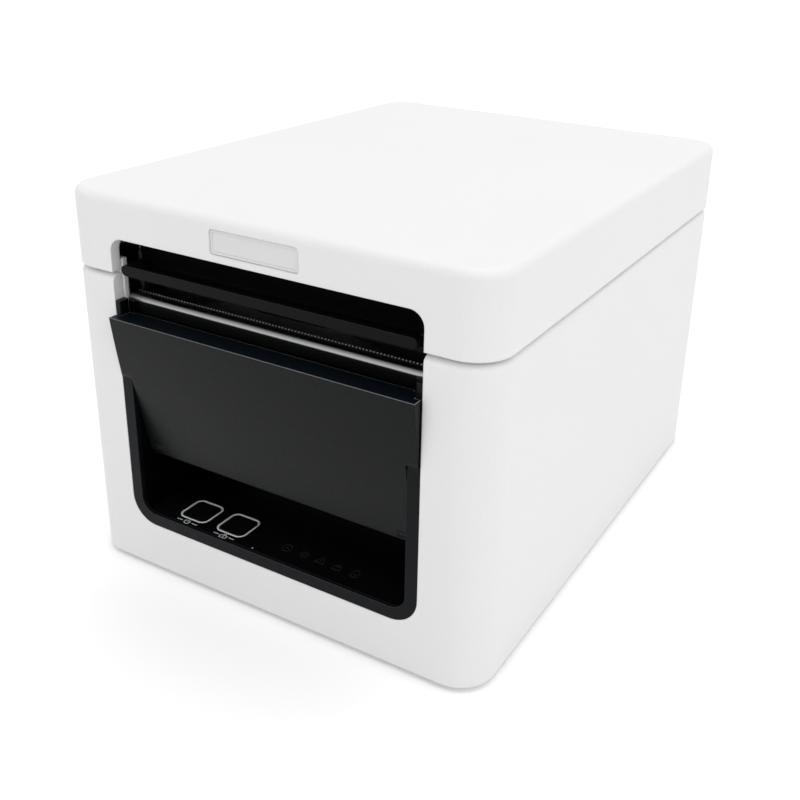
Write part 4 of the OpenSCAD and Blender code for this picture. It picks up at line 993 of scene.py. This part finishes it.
@dataclass
class Mechanism:
    """Side frames, print head, platen, cutter and gear train."""

    spring_x: tuple[float, ...] = (-25.0, 0.0, 25.0)
    spring_y: float = -60.6
    spring_low: float = 69.2
    spring_len: float = 10.6
    push_r: float = 2.05
    push_turns: float = 7
    push_gauge: float = 0.32
    pull_x: float = 43.85
    pull_y: tuple[float, float] = (-65.95, -52.0)
    pull_z: float = 76.0
    pull_r: float = 0.95
    pull_turns: float = 22
    pull_gauge: float = 0.24
    platen_at: tuple[float, float] = (-58.0, 93.5)
    platen_r: float = 6.0
    platen_half: float = 41.0
    shaft_r: float = 3.0

    def build(self) -> None:
        """Dress the metal and plastic of the mechanism and make its fine pieces."""
        dress(Finishes.SIDE, "left_side_frame", "right_side_frame")
        dress(Finishes.SHEET, "frame_cross_plate")
        dress(Finishes.DARK, "cutter_frame", "cutter_back_plate", "moving_knife")
        dress(Finishes.STEEL, "release_studs", "head_pivot_rod", "platen_shaft", "motor_shaft", "idler_stud")
        dress(Finishes.KNIFE, "fixed_knife")
        dress(Finishes.BRASS, "knife_rack", "cutter_pinion", "motor_pinion")
        dress(Finishes.NYLON, "platen_gear", "idler_gear", "platen_bushes")
        dress(Finishes.CAN, "feed_motor", "cutter_motor")
        dress(Finishes.ALUMINIUM, "head_bracket")
        dress(Finishes.CERAMIC, "print_head")
        dress(Finishes.INNER_BLACK_AND_SHADE, "platen_carrier")
        dress(Finishes.CABLE, "head_flat_cable")
        self.springs()
        self.platen()

    def springs(self) -> None:
        """Push springs under the print head and pull springs behind the release bar."""
        push = coil(self.push_r, self.spring_len, self.push_turns, self.push_gauge)
        stack = [push.placed((x, self.spring_y, self.spring_low)) for x in self.spring_x]
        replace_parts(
            make("head_spring_set", together(stack), Finishes.SPRING, "case", 60),
            "head_springs",
        )
        y0, y1 = self.pull_y
        pull = coil(self.pull_r, y1 - y0, self.pull_turns, self.pull_gauge)
        both = together([pull.placed((side * self.pull_x, y0, self.pull_z), ROUND_Y) for side in (1, -1)])
        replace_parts(make("release_spring_set", both, Finishes.SPRING, "case", 60), "release_springs")

    def platen(self) -> None:
        """Rubber sleeve with chamfered ends, closed round the shaft."""
        r, h = self.platen_r, self.platen_half
        steps = 96
        half = [(self.shaft_r, h), (r - 0.5, h), (r - 0.12, h - 0.12), (r, h - 0.5)]
        section = [(radius, -at) for radius, at in half] + half[::-1]
        sleeve = Shape(revolved(section, steps).reshape(-1, 3), list(lattice(len(section), steps, True, True)))
        y, z = self.platen_at
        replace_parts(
            make("platen_sleeve", sleeve.placed((0, y, z), ROUND_X), Finishes.PLATEN, "platen"),
            "platen_roller",
        )


@dataclass
class Inside:
    """Deck, roll bay, boards and rear sockets."""

    network_at: tuple[float, float] = (-16.0, 12.5)
    drawer_at: tuple[float, float] = (10.0, 12.5)
    socket_back: float = 85.5
    contact_pitch: float = 1.02
    contact_r: float = 0.17
    contact_start: float = 3.0
    contact_run: float = 8.0
    contact_high: float = 4.9
    contact_drop: float = 2.6

    def build(self) -> None:
        """Dress what the lid and the rear openings show."""
        dress(Finishes.BAY, "inner_deck", "roll_bay")
        dress(Finishes.SOCKET, "paper_sensor", "cover_switch", "power_inlet", "board_components")
        dress(Finishes.SHELL, "network_socket", "drawer_socket", "usb_socket")
        dress(Finishes.BOARD, "main_board")
        self.contacts()

    def contacts(self) -> None:
        """Gold spring contacts that slope down inside the two modular sockets."""
        t = np.linspace(0, 1, 12)[:, None]
        parts: list[Shape] = []
        for (x, z), count in ((self.network_at, 8), (self.drawer_at, 6)):
            for i in range(count):
                across = np.full_like(t, x + (i - (count - 1) / 2) * self.contact_pitch)
                inward = self.socket_back - self.contact_start - self.contact_run * t
                down = z + self.contact_high - self.contact_drop * np.sin(t * math.pi / 2)
                parts.append(wire(np.hstack([across, inward, down]), self.contact_r, 6, (1, 0, 0)))
        make("socket_contacts", together(parts), Finishes.GOLD, "case", 60)


@dataclass
class Fasteners:
    """Cross-head screws in place of the plain ones."""

    base: tuple[Place, ...] = ((-57.0, -73.0, 2.5), (57.0, -73.0, 2.5), (-57.0, 76.0, 2.5), (57.0, 76.0, 2.5))
    board: tuple[Place, ...] = ((-46.0, -42.5, 8.6), (46.0, -42.5, 8.6), (-46.0, 65.5, 8.6), (46.0, 65.5, 8.6))
    carrier: tuple[Place, ...] = (
        (-44.6, -70.4, 101.5), (44.6, -70.4, 101.5), (-44.6, -49.4, 101.5), (44.6, -49.4, 101.5)
    )
    feet: tuple[Place, ...] = ((-54.2, -68.5, 44.4), (54.2, -68.5, 44.4), (-54.2, -55.0, 44.4), (54.2, -55.0, 44.4))
    motor: tuple[Place, ...] = ((46.4, -20.51, 73.49), (46.4, -47.51, 46.49))
    shank_r: float = 1.5

    def build(self) -> None:
        """Make each set of screws where the CAD has it."""
        r = self.shank_r
        self.group("base_screw_set", screw(2.9, 1.0, r, 8.0), self.base, DOWN, "case", "base_screws")
        self.group("board_screw_set", screw(2.7, 1.6, r, 4.6), self.board, None, "case", "board_screws")
        self.group("carrier_screw_set", screw(2.3, 1.4, r, 5.0), self.carrier, DOWN, "lid", "carrier_screws")
        feet = self.row(screw(2.8, 1.6, r, 4.2), self.feet, None)
        motor = self.row(screw(2.0, 1.2, r, 2.2), self.motor, ROUND_X)
        self.finish("frame_screw_set", feet + motor, "case", "frame_screws")

    def row(self, one: Shape, places: Sequence[Place], axes: Array | None) -> Shape:
        """Copies of a screw at several places."""
        return together([one.placed(p, axes) for p in places])

    def group(
        self, name: str, one: Shape, places: Sequence[Place], axes: Array | None, body: str, node: str
    ) -> None:
        """A set of like screws as one piece."""
        self.finish(name, self.row(one, places, axes), body, node)

    def finish(self, name: str, shape: Shape, body: str, node: str) -> None:
        """Make the piece and let it stand for its CAD node."""
        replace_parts(make(name, shape, Finishes.SCREW, body, 40), node)


@dataclass
class Studio:
    """Floor, soft light and the camera."""

    centre: Place = (0.15058, -0.2630, 0.18104)
    azimuth: float = 28.86
    elevation: float = 22.25
    roll: float = 1.93
    focal_px: float = 1020.39
    middle_px: tuple[float, float] = (439.8, 330.24)
    sky: float = 0.68
    top: float = 10.0
    side: float = 3.2
    front: float = 1.9

    def build(self) -> None:
        """Set up the whole studio."""
        self.floor()
        self.world()
        self.lamp("top_light", (0.1, 0.0, 1.6), 1.6, self.top)
        self.lamp("side_light", (1.2, -0.2, 0.8), 1.4, self.side)
        self.lamp("front_light", (-0.45, -1.3, 0.15), 1.2, self.front)
        self.camera()

    def floor(self) -> None:
        """A wide pale floor."""
        side = np.array([[-1, -1, 0], [1, -1, 0], [1, 1, 0], [-1, 1, 0]], float) * 6
        mesh = bpy.data.meshes.new("floor")
        mesh.from_pydata(side.tolist(), [], [[0, 1, 2, 3]])
        mesh.materials.append(Finishes.FLOOR.material())
        floor = bpy.data.objects.new("floor", mesh)
        bpy.context.scene.collection.objects.link(floor)

    def world(self) -> None:
        """Even sky light, seen as white by the camera and in reflections."""
        world = bpy.data.worlds.new("studio")
        bpy.context.scene.world = world
        world.use_nodes = True
        nodes, links = world.node_tree.nodes, world.node_tree.links
        ground = nodes["Background"]
        path = nodes.new("ShaderNodeLightPath")
        seen = path.outputs["Is Camera Ray"]
        for kind in ("Is Glossy Ray", "Is Transmission Ray"):
            either = nodes.new("ShaderNodeMath")
            either.operation = "MAXIMUM"
            links.new(seen, either.inputs[0])
            links.new(path.outputs[kind], either.inputs[1])
            seen = either.outputs[0]
        shade = nodes.new("ShaderNodeMix")
        shade.inputs[2].default_value = self.sky
        shade.inputs[3].default_value = 1.0
        links.new(seen, shade.inputs[0])
        links.new(shade.outputs[0], ground.inputs["Strength"])
        ground.inputs["Color"].default_value = (1, 1, 1, 1)

    def lamp(self, name: str, at: Place, size: float, power: float) -> None:
        """A square soft light that faces the printer.

        Args:
            name: the lamp's name.
            at: where it stands, in metres.
            size: length of its side in metres.
            power: power in watts.
        """
        data = bpy.data.lights.new(name, "AREA")
        data.size, data.energy = size, power
        lamp = bpy.data.objects.new(name, data)
        lamp.location = at
        lamp.rotation_euler = (Vector((0, 0, 0.05)) - Vector(at)).to_track_quat("-Z", "Y").to_euler()
        bpy.context.scene.collection.objects.link(lamp)

    def camera(self) -> None:
        """Camera at the viewing angle, with its middle shifted off the image's middle."""
        a, e, turn = (math.radians(v) for v in (self.azimuth, self.elevation, self.roll))
        back = Vector((math.sin(a) * math.cos(e), -math.cos(a) * math.cos(e), math.sin(e)))
        right = (-back).cross(Vector((0, 0, 1))).normalized()
        up = right.cross(-back)
        across = math.cos(turn) * right + math.sin(turn) * up
        upward = -math.sin(turn) * right + math.cos(turn) * up
        data = bpy.data.cameras.new("camera")
        data.sensor_width = 36
        data.lens = 36 * self.focal_px / 800
        data.shift_x = (400 - self.middle_px[0]) / 800
        data.shift_y = (self.middle_px[1] - 400) / 800
        camera = bpy.data.objects.new("camera", data)
        camera.matrix_world = Matrix.Translation(self.centre) @ Matrix((across, upward, back)).transposed().to_4x4()
        bpy.context.scene.collection.objects.link(camera)
        bpy.context.scene.camera = camera


def main() -> None:
    """Build and dress the printer, and set up the studio."""
    logging.basicConfig(level=logging.WARNING)
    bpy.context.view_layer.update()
    for part in (Case(), Front(), Controls(), Mechanism(), Inside(), Fasteners()):
        part.build()
        LOG.info("built %s", type(part).__name__)
    Studio().build()
    bpy.context.scene.view_settings.view_transform = "Standard"


if __name__ == "__main__":
    main()
